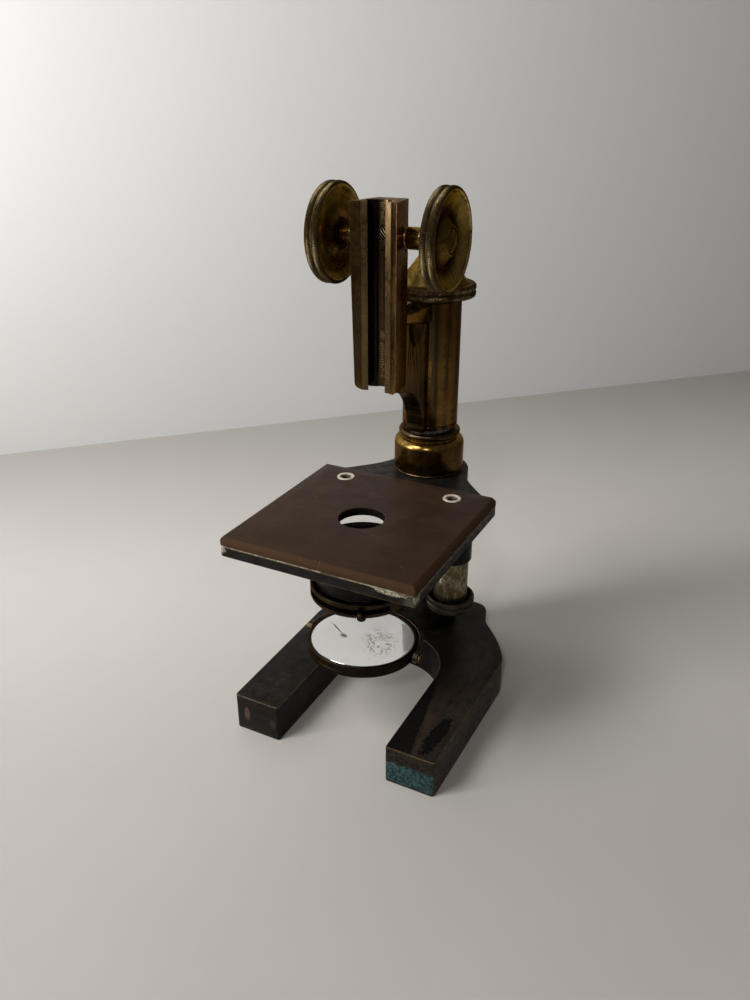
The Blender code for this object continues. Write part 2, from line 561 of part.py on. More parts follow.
# ---- substage --------------------------------------------------------------
def make_substage():
    here = (POST_X, POST_Y, 0)
    top = STAGE_UNDERSIDE - GAP
    post = [(0, top), (7.4, top), (7.4, top - 2.6), (POST_RADIUS, top - 3.0), (POST_RADIUS, 47.0), (0, 47.0)]
    bore = POST_RADIUS + GAP
    turned("substage_post", post, STEEL, at=here, sides=20)

    lift = joint_empty("substage_lift", (POST_X, POST_Y, NUT_TOP))
    ring("substage_tube", TUBE_RADIUS, bore, NUT_TOP - 2.8, HUB_BOTTOM - GAP, NICKEL, at=here, sides=24,
         parent=lift)
    nut_axis = joint_empty("substage_nut_axis", (POST_X, POST_Y, NUT_BOTTOM), lift)
    low, high, outer = NUT_BOTTOM, NUT_TOP, NUT_RADIUS
    middle = (low + high) / 2
    profile = [(8.5, 46.3), (8.5, high - 1.8), (10.4, high - 0.2), (outer - 0.4, high), (outer, high - 0.5),
               (outer, middle + 0.4), (outer - 0.6, middle), (outer, middle - 0.4), (outer, low + 0.5),
               (outer - 0.5, low), (bore, low), (bore, 46.3)]
    turned("substage_nut", profile, BRONZE, closed=True, at=here, sides=FINE, parent=nut_axis)

    swing = joint_empty("substage_swing", (POST_X, POST_Y, HUB_TOP), lift)
    hub = ring("substage_arm", HUB_RADIUS, bore, HUB_BOTTOM, HUB_TOP, LACQUER, at=here, sides=20,
               parent=swing)
    ring_low = IRIS_TOP + GAP
    holder = ring("substage_holder", 20.8, 18.4, ring_low, SLEEVE_TOP, None, at=(0, OPTICAL_Y, 0),
                  collection=CUTTERS)
    reach = Vector((-POST_X, OPTICAL_Y - POST_Y))
    heading = reach.normalized()
    across = Vector((-heading.y, heading.x))
    start = Vector((POST_X, POST_Y)) + heading * 6.0
    end = Vector((0, OPTICAL_Y)) - heading * 19.4
    corners = [start + across * 5.0, start - across * 5.0, end - across * 4.0, end + across * 4.0]
    bar = plate("substage_bar", [[tuple(c) for c in corners]], ring_low, HUB_TOP - 1.0, None,
                collection=CUTTERS)
    boolean(hub, bar, "UNION")
    boolean(hub, holder, "UNION")

    iris = (0, OPTICAL_Y, 0)
    low, high = IRIS_BOTTOM, IRIS_TOP
    case_profile = [(21.2, high), (22.8, high), (IRIS_RADIUS, high - 0.5), (IRIS_RADIUS, low + 0.5),
                    (IRIS_RADIUS - 0.5, low), (12.5, low), (12.5, low + 1.2), (21.2, low + 1.2)]
    case = turned("iris_case", case_profile, BRONZE, closed=True, at=iris, parent=swing)
    slot = plate("iris_case_slot", [arc((0, 0), 25.0, -148, -32, 15) + arc((0, 0), 20.5, -32, -148, 15)],
                 low + 1.9, low + 4.5, None, at=iris, collection=CUTTERS)
    boolean(case, slot, "DIFFERENCE")
    ring("iris_leaves", 20.8, 5.0, high - 1.4, high - 0.6, STEEL, at=iris, sides=20, parent=swing)

    lever_axis = joint_empty("iris_lever_axis", (0, OPTICAL_Y, IRIS_BOTTOM), swing)
    ring("iris_drum", 20.4, 13.4, low + 1.6, high - 1.8, BRONZE, at=iris, sides=20, parent=lever_axis)
    lever_profile = [(0, 28.4), (1.2, 28.1), (2.0, 27.3), (2.25, 26.2), (2.0, 25.1), (1.2, 24.3), (0.9, 23.9),
                     (0.9, 20.7), (0, 20.7)]
    turned("iris_lever", lever_profile, BRASS, at=(0, OPTICAL_Y, low + 3.2),
           turn=(90, 0, LEVER_ANGLE), sides=20, parent=lever_axis)


# ---- mirror ----------------------------------------------------------------
def make_mirror():
    fork_axis = joint_empty("mirror_fork_axis", (0, -COLUMN_RADIUS, MIRROR_Z))
    half_ring = arc((0, 0), FORK_RADIUS, 0, 180, 17) + arc((0, 0), FORK_RADIUS - FORK_WALL, 180, 0, 17)
    centre = (0, OPTICAL_Y, MIRROR_Z)
    fork = plate("mirror_fork", [half_ring], -1.8, 1.8, LACQUER, at=centre, parent=fork_axis)
    boss_y = OPTICAL_Y + FORK_RADIUS - 1.2
    stem_length = STEM_END - boss_y
    stem_profile = [(0, stem_length), (STEM_RADIUS, stem_length), (STEM_RADIUS, 8.2), (4.6, 7.8), (4.6, 0.6),
                    (3.8, 0.0), (0, 0)]
    stem = turned("mirror_fork_stem", stem_profile, None, at=(0, boss_y, MIRROR_Z), turn=(-90, 0, 0),
                  sides=20, collection=CUTTERS)
    boolean(fork, stem, "UNION")
    for label, side in (("left", -1), ("right", 1)):
        lug = turned("mirror_fork_lug_" + label,
                     [(0, FORK_RADIUS + 0.4), (2.6, FORK_RADIUS + 0.4), (2.6, FORK_RADIUS - FORK_WALL),
                      (0, FORK_RADIUS - FORK_WALL)],
                     None, at=centre, turn=(0, 90 * side, 0), sides=SMALL, collection=CUTTERS)
        boolean(fork, lug, "UNION")
        drill(fork, 1.15, (side * (FORK_RADIUS - 4), OPTICAL_Y, MIRROR_Z),
              (side * (FORK_RADIUS + 2), OPTICAL_Y, MIRROR_Z), 16)
        slotted_screw("mirror_pivot_" + label, (side * (FORK_RADIUS + 0.7), OPTICAL_Y, MIRROR_Z),
                      (0, 90 * side, 0), 2.0, 1.0, 0.8, FORK_RADIUS + 0.7 - 24.2, BRASS, slot_turn=15,
                      parent=fork_axis)

    tilt = joint_empty("mirror_tilt_axis", centre, fork_axis)
    outer = MIRROR_RADIUS
    seat = outer - 1.2
    cell_profile = [(seat, 2.8), (outer - 0.4, 2.8), (outer, 2.3), (outer, -2.3), (outer - 0.4, -2.8),
                    (seat, -2.8), (seat, -1.6), (21.0, -1.6), (21.0, 1.6), (seat, 1.6)]
    lean = (-MIRROR_TILT, 0, 0)
    cell = turned("mirror_ring", cell_profile, BRONZE, closed=True, at=centre, turn=lean, parent=tilt)
    for side in (-1, 1):
        drill(cell, 1.15, (side * 23.0, OPTICAL_Y, MIRROR_Z), (side * 27.0, OPTICAL_Y, MIRROR_Z), 16)
    glass = seat - GAP
    dish = [(glass * share, 1.1 + 1.4 * share * share) for share in (0.25, 0.5, 0.75)]
    hollow = [(0, 1.1)] + dish + [(glass - 0.3, 2.5), (glass, 2.2), (glass, 1.9), (20.5, 1.9), (20.0, 0.4),
                                  (0, 0.4)]
    turned("concave_mirror", hollow, GLASS, at=centre, turn=lean, parent=tilt)
    plane = [(0, -1.9), (glass, -1.9), (glass, -2.2), (glass - 0.3, -2.5), (0, -2.5)]
    turned("plane_mirror", plane, GLASS, at=centre, turn=lean, parent=tilt)


make_foot()
make_pillar()
make_stage()
make_column()
LIMB = make_limb()
make_coarse_drive(LIMB)
make_fine_head()
make_substage()
make_mirror()
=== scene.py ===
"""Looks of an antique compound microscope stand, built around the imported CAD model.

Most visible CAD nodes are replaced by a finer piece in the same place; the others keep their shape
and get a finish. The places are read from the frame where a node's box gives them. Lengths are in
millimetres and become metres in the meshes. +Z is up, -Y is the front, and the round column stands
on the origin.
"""

import json
import math

import bmesh
import bpy
from mathutils import Matrix, Vector, noise


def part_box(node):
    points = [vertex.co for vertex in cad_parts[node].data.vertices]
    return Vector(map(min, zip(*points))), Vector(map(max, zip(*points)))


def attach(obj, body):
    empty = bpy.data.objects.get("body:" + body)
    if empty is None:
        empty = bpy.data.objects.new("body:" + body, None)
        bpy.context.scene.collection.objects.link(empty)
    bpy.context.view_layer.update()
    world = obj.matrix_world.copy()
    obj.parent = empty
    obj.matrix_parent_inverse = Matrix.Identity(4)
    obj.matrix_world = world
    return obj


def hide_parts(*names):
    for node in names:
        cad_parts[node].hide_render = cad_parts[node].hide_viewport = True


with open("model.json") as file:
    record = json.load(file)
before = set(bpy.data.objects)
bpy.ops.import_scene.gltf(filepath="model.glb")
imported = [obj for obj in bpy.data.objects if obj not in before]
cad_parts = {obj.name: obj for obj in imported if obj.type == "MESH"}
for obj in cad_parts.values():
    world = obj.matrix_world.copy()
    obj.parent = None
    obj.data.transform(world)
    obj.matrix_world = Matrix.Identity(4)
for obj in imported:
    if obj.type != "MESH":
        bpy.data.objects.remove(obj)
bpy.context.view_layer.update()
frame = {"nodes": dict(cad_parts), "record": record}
RECORD = frame["record"]
BODY_OF = {node: body for body, nodes in RECORD["behaviour"]["bodies"].items() for node in nodes}
SLOT_OF = {part["node"]: part["material_slot"] for part in RECORD["subparts"]}
MM = 0.001
GAP = 0.3


# ---- places, read from the frame ------------------------------------------------------------
def span(node):
    """Lowest and highest corner of a CAD node, in millimetres."""
    low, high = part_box(node)
    return low / MM, high / MM


def middle(node):
    low, high = span(node)
    return (low + high) / 2


OPTICAL_AXIS = middle("iris_leaves")
PINION = middle("pinion_shaft")
POST = middle("substage_tube")
TILT_AXIS = Vector((0, OPTICAL_AXIS.y, middle("mirror_pivot_right").z))
MIRROR_LEAN = 2.4


# ---- mesh helpers ---------------------------------------------------------------------------
def rounded(points, radius, closed=True, steps=3):
    """An outline with its corners rounded. A point may carry its own radius as a third value."""
    result = []
    last = len(points) - 1
    for i, point in enumerate(points):
        here = Vector(point[:2])
        if not closed and i in (0, last):
            result.append(tuple(here))
            continue
        before = Vector(points[i - 1][:2]) - here
        after = Vector(points[(i + 1) % len(points)][:2]) - here
        reach = point[2] if len(point) > 2 else radius
        reach = min(reach, before.length * 0.45, after.length * 0.45)
        straight = before.angle(-after, 0) < math.radians(4)
        if reach < 0.004 or straight:
            result.append(tuple(here))
            continue
        start = here + before.normalized() * reach
        end = here + after.normalized() * reach
        for k in range(steps + 1):
            t = k / steps
            result.append(tuple(start * (1 - t) ** 2 + here * 2 * t * (1 - t) + end * t ** 2))
    return result


def arc(centre, radius, start, end, count, radius_y=None):
    """Points along an arc, angles in degrees."""
    angles = [math.radians(start + (end - start) * i / (count - 1)) for i in range(count)]
    return [(centre[0] + radius * math.cos(a), centre[1] + (radius_y or radius) * math.sin(a))
            for a in angles]


def mirrored(points):
    return points + [(-p[0], *p[1:]) for p in reversed(points)]


def new_object(name, verts, faces, material=None):
    mesh = bpy.data.meshes.new(name)
    mesh.from_pydata([Vector(v) * MM for v in verts], [], faces)
    obj = bpy.data.objects.new(name, mesh)
    bpy.context.scene.collection.objects.link(obj)
    if material is not None:
        mesh.materials.append(material)
    return obj


def smooth(obj, angle=32):
    """Merge, face outwards, and shade smooth with sharp edges kept."""
    mesh = bmesh.new()
    mesh.from_mesh(obj.data)
    bmesh.ops.remove_doubles(mesh, verts=mesh.verts, dist=1e-7)
    bmesh.ops.recalc_face_normals(mesh, faces=mesh.faces)
    mesh.to_mesh(obj.data)
    mesh.free()
    obj.data.shade_smooth()
    obj.data.set_sharp_from_angle(angle=math.radians(angle))
    return obj


def turned(name, profile, material, centre=(0, 0, 0), aim="Z", sides=128, closed=True, fillet=0.2,
           milling=None, teeth=180):
    """A turned piece from (radius, height) points down its outer side.

    milling(radius) gives how deep the straight knurl cuts there.
    """
    per_tooth = 4
    tooth_shape = (0, 0.5, 1, 0.5)
    steps = teeth * per_tooth if milling else sides
    verts, rings = [], []
    for radius, height in rounded(profile, fillet, closed):
        if radius < 1e-6:
            rings.append([len(verts)] * steps)
            verts.append((0, 0, height))
            continue
        depth = milling(radius) if milling else 0
        rings.append(list(range(len(verts), len(verts) + steps)))
        for k in range(steps):
            reach = radius - depth * tooth_shape[k % per_tooth]
            angle = math.tau * k / steps
            verts.append((reach * math.cos(angle), reach * math.sin(angle), height))
    faces = []
    pairs = list(zip(rings, rings[1:]))
    if closed:
        pairs.append((rings[-1], rings[0]))
    for upper, lower in pairs:
        for k in range(steps):
            n = (k + 1) % steps
            corners = list(dict.fromkeys((upper[k], upper[n], lower[n], lower[k])))
            if len(corners) > 2:
                faces.append(corners)
    obj = new_object(name, verts, faces, material)
    turn = {"Z": Matrix.Identity(4), "X": Matrix.Rotation(math.pi / 2, 4, "Y"),
            "-X": Matrix.Rotation(-math.pi / 2, 4, "Y"), "Y": Matrix.Rotation(-math.pi / 2, 4, "X"),
            "-Y": Matrix.Rotation(math.pi / 2, 4, "X"), "-Z": Matrix.Rotation(math.pi, 4, "X")}
    matrix = aim if isinstance(aim, Matrix) else turn[aim]
    obj.data.transform(Matrix.Translation(Vector(centre) * MM) @ matrix)
    return smooth(obj)


def milled(rim, margin, ramp, depth):
    """How deep a straight knurl cuts: nothing a margin inside the rim, its full depth past a ramp."""
    return lambda radius: depth * max(0, min(1, (radius - (rim - margin)) / ramp))


def slab(name, outline, low, high, material=None, edge=0.4, lower_edge=None, segments=3):
    """A flat piece with its top and bottom edges rounded."""
    count = len(outline)
    verts = [(x, y, low) for x, y in outline] + [(x, y, high) for x, y in outline]
    sides = [(i, (i + 1) % count, (i + 1) % count + count, i + count) for i in range(count)]
    faces = [tuple(reversed(range(count))), tuple(range(count, 2 * count))] + sides
    obj = new_object(name, verts, faces, material)
    mesh = bmesh.new()
    mesh.from_mesh(obj.data)
    bmesh.ops.recalc_face_normals(mesh, faces=mesh.faces)
    for level, width in ((high, edge), (low, edge if lower_edge is None else lower_edge)):
        if width:
            rim = [e for e in mesh.edges if all(abs(v.co.z / MM - level) < 1e-4 for v in e.verts)]
            bmesh.ops.bevel(mesh, geom=rim, offset=width * MM, segments=segments, profile=0.5,
                            affect="EDGES", clamp_overlap=True)
    mesh.to_mesh(obj.data)
    mesh.free()
    return smooth(obj)


def cut(obj, other, operation="DIFFERENCE", solver="EXACT"):
    """Apply a Boolean with another mesh object, which is used up."""
    modifier = obj.modifiers.new("cut", "BOOLEAN")
    modifier.operation = operation
    modifier.solver = solver
    modifier.object = other
    bpy.context.view_layer.update()
    result = bpy.data.meshes.new_from_object(obj.evaluated_get(bpy.context.evaluated_depsgraph_get()))
    obj.modifiers.clear()
    old = obj.data
    obj.data = result
    bpy.data.meshes.remove(old)
    bpy.data.objects.remove(other, do_unlink=True)
    return smooth(obj)


def bore(obj, radius, centre, low, high, aim="Z", flare=0, sides=64):
    """A round hole along an axis through a centre, with its mouths opened by a small flare."""
    profile = [(0, high + 1), (radius + flare + 1, high + 1), (radius, high - flare), (radius, low + flare),
               (radius + flare + 1, low - 1), (0, low - 1)]
    if not flare:
        profile = [(0, high), (radius, high), (radius, low), (0, low)]
    tool = turned("tool", profile, None, centre, aim, sides, closed=False, fillet=0)
    return cut(obj, tool)


def stand_for(obj, *nodes):
    """A piece rides with the first CAD node that it stands for, and those CAD nodes are hidden."""
    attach(obj, BODY_OF[nodes[0]])
    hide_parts(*nodes)
    return obj


# ---- materials ------------------------------------------------------------------------------
class Finish:
    """A material's node graph with short names for what it is made of. Lengths in millimetres."""

    def __init__(self, name, metallic=0, coat=0, coat_roughness=0.1, specular=0.5):
        self.material = bpy.data.materials.new(name)
        self.material.use_nodes = True
        self.tree = self.material.node_tree
        self.shader = self.tree.nodes["Principled BSDF"]
        self.shader.inputs["Metallic"].default_value = metallic
        self.shader.inputs["Coat Weight"].default_value = coat
        self.shader.inputs["Coat Roughness"].default_value = coat_roughness
        self.shader.inputs["Specular IOR Level"].default_value = specular
        coordinates = self.add("ShaderNodeTexCoord").outputs["Object"]
        self.place = self.mapped(coordinates, scale=(1000, 1000, 1000))
        split = self.add("ShaderNodeSeparateXYZ", {"Vector": self.place})
        self.x, self.y, self.z = split.outputs[0], split.outputs[1], split.outputs[2]
        self.base = None           # colour so far
        self.layers = []           # (height, depth) so far

    def add(self, kind, inputs=None, **settings):
        node = self.tree.nodes.new(kind)
        for key, value in settings.items():
            setattr(node, key, value)
        for key, value in (inputs or {}).items():
            if isinstance(value, bpy.types.NodeSocket):
                self.tree.links.new(value, node.inputs[key])
            else:
                node.inputs[key].default_value = value
        return node

    def mapped(self, vector, scale=(1, 1, 1), shift=(0, 0, 0)):
        node = self.add("ShaderNodeMapping", {"Vector": vector, "Scale": scale, "Location": shift})
        return node.outputs["Vector"]

    def noise(self, size, detail=4, rough=0.55, stretch=(1, 1, 1), shift=0, twist=0):
        """Noise with features of about this size, longer along the axes that are stretched."""
        scale = tuple(1 / (size * s) for s in stretch)
        vector = self.mapped(self.place, scale, (shift, shift * 0.7, shift * 1.3))
        node = self.add("ShaderNodeTexNoise", {"Vector": vector, "Scale": 1, "Detail": detail,
                "Roughness": rough, "Distortion": twist})
        return node.outputs["Fac"]

    def cloud(self, low, high, *pattern, **settings):
        """Patches of noise, from zero where it is low to one where it is high."""
        return self.band(self.noise(*pattern, **settings), low, high)

    def specks(self, size, share, shift=0):
        """Small round spots, one in each cell of this size."""
        vector = self.mapped(self.place, (1 / size,) * 3, (shift, shift, shift))
        cells = self.add("ShaderNodeTexVoronoi", {"Vector": vector, "Scale": 1, "Randomness": 1})
        return self.band(cells.outputs["Distance"], share, share * 0.45)

    def math(self, operation, a, b=0, c=0):
        node = self.add("ShaderNodeMath", {0: a, 1: b, 2: c}, operation=operation)
        return node.outputs["Value"]

    def times(self, a, b):
        return self.math("MULTIPLY", a, b)

    def plus(self, a, b):
        return self.math("ADD", a, b)

    def minus(self, a, b):
        return self.math("SUBTRACT", a, b)

    def extent(self, a):
        return self.math("ABSOLUTE", a)

    def band(self, value, low, high, floor=0, top=1):
        """Smooth step from low to high; with low above high it steps down."""
        node = self.add("ShaderNodeMapRange", {"Value": value, "From Min": low, "From Max": high,
                "To Min": floor, "To Max": top}, interpolation_type="SMOOTHSTEP", clamp=True)
        return node.outputs["Result"]

    def within(self, value, low, high, blur=1):
        """One between low and high, nothing outside."""
        return self.times(self.band(value, low - blur, low + blur),
                          self.band(value, high + blur, high - blur))

    def both(self, *values):
        result = values[0]
        for value in values[1:]:
            result = self.times(result, value)
        return result

    def either(self, *values):
        result = values[0]
        for value in values[1:]:
            result = self.math("MAXIMUM", result, value)
        return result

    def mix(self, share, a, b):
        node = self.add("ShaderNodeMix", {0: share, 6: self.colour(a), 7: self.colour(b)}, data_type="RGBA")
        return node.outputs[2]

    def paint(self, where, tint, share=1):
        """Lay a share of a tint over the base colour where a mask is one."""
        self.base = self.mix(where if share == 1 else self.times(where, share), self.base, tint)

    @staticmethod
    def colour(value):
        return value if isinstance(value, bpy.types.NodeSocket) else (*value, 1)

    def worn_edges(self, radius, low=0.02, high=0.16):
        """Bright where the surface turns sharply, as on a rubbed edge."""
        bevel = self.add("ShaderNodeBevel", {"Radius": radius * MM}, samples=6).outputs["Normal"]
        plain = self.add("ShaderNodeNewGeometry").outputs["Normal"]
        dot = self.add("ShaderNodeVectorMath", {0: bevel, 1: plain}, operation="DOT_PRODUCT")
        return self.band(dot.outputs["Value"], 1 - low, 1 - high)

    def from_axis(self, centre, across):
        """Distance from an axis through a centre, across two of the coordinates."""
        terms = [self.math("POWER", self.minus(getattr(self, a), getattr(Vector(centre), a)),
                           2) for a in across]
        return self.math("SQRT", self.plus(*terms))

    def lines(self, value, pitch):
        """Fine parallel lines, as a lathe tool leaves them, each of a different depth."""
        cell = self.math("DIVIDE", value, pitch)
        vector = self.add("ShaderNodeCombineXYZ", {"X": cell}).outputs["Vector"]
        node = self.add("ShaderNodeTexNoise", {"Vector": vector, "Scale": 1, "Detail": 2})
        return node.outputs["Fac"]

    def bump(self, *layers):
        """Layers of (height, depth in millimetres) pressed into the surface."""
        normal = None
        for height, depth in layers:
            inputs = {"Height": height, "Strength": 1, "Distance": depth * MM}
            if normal is not None:
                inputs["Normal"] = normal
            normal = self.add("ShaderNodeBump", inputs).outputs["Normal"]
        self.tree.links.new(normal, self.shader.inputs["Normal"])

    def finish(self, roughness):
        self.tree.links.new(self.base, self.shader.inputs["Base Color"])
        self.tree.links.new(roughness, self.shader.inputs["Roughness"])
        return self.material


def brass(name, light, dark, stain, rough, streaks=0, spots=0, patina=0.5, turning=None, coat=0.09,
          edges=0.3, extra=None):
    """Old brass: mottled lacquer, vertical streaks, dark spots, tool lines and rubbed edges.

    turning is (centre, across) for lines round an axis, or "Z" for lines stacked along +Z.
    """
    f = Finish(name, metallic=1, coat=coat, coat_roughness=0.12)
    f.shader.inputs["Specular Tint"].default_value = (0.55, 0.42, 0.24, 1)
    mottle = f.noise(7, 5, 0.62)
    cloud = f.cloud(0.35, 0.68, 16, 3, 0.5, shift=4, twist=0.6)
    f.base = f.mix(f.band(mottle, 0.3, 0.7), light, dark)
    f.paint(f.times(cloud, patina), stain)
    if streaks:
        wide = f.noise(3.2, 3, 0.5, stretch=(1, 1, 26), shift=9)
        thin = f.noise(0.9, 2, 0.5, stretch=(1, 1, 45), shift=2)
        run = f.plus(f.times(f.band(wide, 0.4, 0.66), 0.7), f.times(f.band(thin, 0.42, 0.7), 0.3))
        f.paint(f.times(run, streaks), stain)
    rough_value = f.band(f.noise(2.4, 4, 0.6, shift=6), 0.25, 0.75, rough * 0.75, rough * 1.3)
    height = f.noise(0.5, 3, 0.6, shift=11)
    if spots:
        gate = f.cloud(0.42, 0.62, 5, 2, 0.5, shift=15)
        pits = f.both(f.specks(1.3, 0.34, 3), gate)
        dots = f.both(f.specks(0.62, 0.3, 8), f.cloud(0.45, 0.6, 3, 2, shift=21))
        marks = f.either(pits, f.times(dots, 0.7))
        f.paint(f.times(marks, spots), tuple(c * 0.22 for c in stain))
        rough_value = f.plus(rough_value, f.times(marks, 0.2))
    f.layers = [(height, 0.012)]
    if turning:
        along = f.z if turning == "Z" else f.from_axis(*turning)
        f.layers.append((f.lines(along, 0.11), 0.01))
    rub = f.both(f.worn_edges(0.35), f.cloud(0.35, 0.6, 1.6, 4, 0.6, shift=5))
    f.paint(f.times(rub, edges), tuple(min(1, c * 1.5) for c in light))
    if extra:
        rough_value = extra(f, rough_value)
    f.bump(*f.layers)
    return f.finish(rough_value)


def black_lacquer(name, extra=None, gloss=0.34):
    """Black lacquer with fine pocks, dull smears and brown metal on the rubbed edges."""
    f = Finish(name, specular=0.09)
    f.base = f.mix(f.cloud(0.38, 0.66, 6, 5, 0.6), (0.006, 0.0056, 0.0052), (0.015, 0.012, 0.0095))
    smear = f.cloud(0.4, 0.66, 14, 4, 0.6, shift=3, twist=0.8)
    f.paint(smear, (0.018, 0.016, 0.014), 0.6)
    roughness = f.band(f.noise(4, 5, 0.62, shift=7), 0.25, 0.75, gloss * 0.8, gloss * 1.45)
    pocks = f.both(f.specks(0.9, 0.26, 2), f.cloud(0.48, 0.6, 6, 3, shift=9))
    f.paint(pocks, (0.052, 0.04, 0.03), 0.7)
    f.layers = [(f.noise(0.8, 4, 0.6), 0.02), (pocks, -0.03)]
    if extra:
        roughness = extra(f, roughness)
    facing = f.add("ShaderNodeTexCoord").outputs["Normal"]
    upward = f.extent(f.add("ShaderNodeSeparateXYZ", {"Vector": facing}).outputs["Z"])
    arris = f.either(f.worn_edges(0.75, 0.01, 0.1), f.within(upward, 0.25, 0.92, 0.05))
    rub = f.both(arris, f.cloud(0.3, 0.52, 2.2, 5, 0.65, shift=5))
    f.paint(rub, (0.135, 0.09, 0.05), 0.85)
    f.bump(*f.layers)
    return f.finish(roughness)


def patch(f, centre, size, turn=0, ragged=0.35, blur=0.3, grain=2.5):
    """A blot with a ragged rim: one inside an ellipsoid about a centre, nothing outside."""
    node = f.add("ShaderNodeMapping", {"Vector": f.place, "Location": centre, "Scale": size,
            "Rotation": (0, 0, math.radians(turn))}, vector_type="TEXTURE")
    reach = f.add("ShaderNodeVectorMath", {0: node.outputs["Vector"]}, operation="LENGTH").outputs["Value"]
    ripple = f.times(f.minus(f.noise(grain, 5, 0.65, shift=centre[0]), 0.5), 2 * ragged)
    return f.band(f.plus(reach, ripple), 1 + blur / 2, 1 - blur / 2)


def foot_wear(f, roughness):
    """What years on a bench did to the foot: rubbed brown, blistered, green with verdigris, and a brown
    band of painted sheen down the right prong's top.
    """
    front, top = FOOT_FRONT, span("horseshoe_foot")[1].z
    on_top = f.band(f.z, top - 0.7, top - 0.3)
    # The brown band down the middle of the right prong's top is a painted sheen; the patch on the left
    # prong is rubbed brown.
    rubbed = f.both(patch(f, (42, -62, top), (10, 52, 6), 0, 0.45, 0.7, 5),
                    f.cloud(0.3, 0.56, 4, 6, 0.7, stretch=(1, 3, 1), shift=1))
    rubbed_left = f.both(patch(f, (-38, -92, top), (9, 14, 4), 0, 0.5, 0.8, 5),
                         f.cloud(0.46, 0.72, 3, 6, 0.7, shift=6))
    f.paint(f.either(rubbed, rubbed_left), (0.042, 0.029, 0.019), 0.8)
    grain = f.noise(1.1, 6, 0.75, shift=12)
    margin = f.plus(f.x, f.times(f.minus(f.y, front), 0.17))
    margin = f.plus(margin, f.times(f.noise(2.6, 6, 0.72, shift=33), 4.4))
    band = f.both(f.band(margin, 41.6, 41.2), f.band(f.x, 20, 26), f.band(f.y, -48, -56), on_top)
    island = patch(f, (44.6, -87, top), (3.4, 14.5, 4), -4, 0.95, 0.15, 1.7)
    blistered = f.both(f.either(band, island), f.band(grain, 0.34, 0.42))
    f.paint(blistered, (0.0012, 0.0011, 0.001), 0.96)
    f.layers.append((f.both(f.either(band, island), grain), 0.45))
    side = f.both(f.band(f.x, 50.2, 50.9), f.band(f.z, top - 0.3, top - 1.3))
    scuff = f.mix(f.cloud(0.4, 0.6, 2.4, 6, 0.7, shift=16), (0.02, 0.017, 0.014), (0.07, 0.055, 0.042))
    f.paint(side, scuff, 0.8)
    face = f.both(f.band(f.y, front + 0.9, front + 0.4), f.band(f.x, 20, 26))
    f.paint(f.both(face, f.band(grain, 0.52, 0.42)), (0.036, 0.028, 0.018))
    level = f.plus(f.z, f.times(f.noise(2.6, 5, 0.65, shift=14), -5))
    green = f.both(face, f.band(level, 9.6, 8), f.band(f.z, 0.4, 1.6))
    mould = f.cloud(0.4, 0.55, 1.7, 6, 0.74, shift=41)
    teal = f.mix(mould, (0.01, 0.022, 0.026), f.mix(f.band(grain, 0.45, 0.62), (0.03, 0.078, 0.088),
            (0.085, 0.15, 0.15)))
    f.paint(green, teal, 0.92)
    cream = f.both(face, f.specks(1.9, 0.16, 3), f.band(f.z, 11, 9.5))
    f.paint(cream, (0.16, 0.15, 0.11), 0.8)
    f.layers.append((f.both(face, mould), 0.1))
    red = patch(f, (-45, front, 9.5), (1.4, 1.5, 3.6), 0, 0.95, 0.4, 0.8)
    f.paint(red, (0.105, 0.06, 0.048), 0.8)
    grey = patch(f, (-30.8, front, 8.5), (1.5, 1.5, 2.4), 0, 0.4, 0.7, 1)
    f.paint(grey, (0.06, 0.058, 0.054), 0.4)
    chips = f.both(f.band(f.y, front + 1.2, front + 0.5), f.band(f.z, 2.6, 1.2), f.specks(1.2, 0.34, 7))
    f.paint(chips, (0.14, 0.13, 0.1), 0.6)
    rough = f.either(f.both(f.either(band, island), grain), f.both(face, mould))
    return f.plus(roughness, f.times(rough, 0.3))


def stage_plate_wear(f, roughness):
    """Cement and green-grey corrosion on the plate's edges, most of it at the front right corner."""
    low, high = span("stage_plate")
    rim = span("stage_top")[0].z - GAP
    grit = f.cloud(0.4, 0.56, 0.8, 5, 0.7, shift=6)
    cream = f.either(patch(f, (high.x - 10.5, low.y, rim), (7.5, 2, 2.1), 0, 0.5, 0.3, 1.6),
                     patch(f, (low.x + 0.8, low.y, rim - 1.4), (2.6, 2.6, 2), 0, 0.5, 0.4, 1.4),
                     patch(f, (high.x, low.y + 1.2, rim - 1), (1, 3, 2.2), 0, 0.5, 0.4, 1.4))
    corner = patch(f, (high.x - 0.5, low.y, rim - 3), (4.5, 2.5, 2.6), 0, 0.5, 0.7, 2)
    f.paint(corner, (0.075, 0.08, 0.06), 0.75)
    f.paint(f.both(cream, f.band(grit, 0, 1, 0.55, 1)), f.mix(grit, (0.13, 0.115, 0.06),
            (0.46, 0.43, 0.33)))
    side = f.both(f.band(f.x, high.x - 0.6, high.x - 0.2), f.cloud(0.42, 0.62, 3, 5, 0.65, shift=8),
                  f.band(f.z, rim - 2.4, rim - 0.6))
    f.paint(side, (0.12, 0.115, 0.095), 0.65)
    f.layers.append((cream, 0.1))
    return f.plus(roughness, f.times(f.either(cream, corner), 0.3))


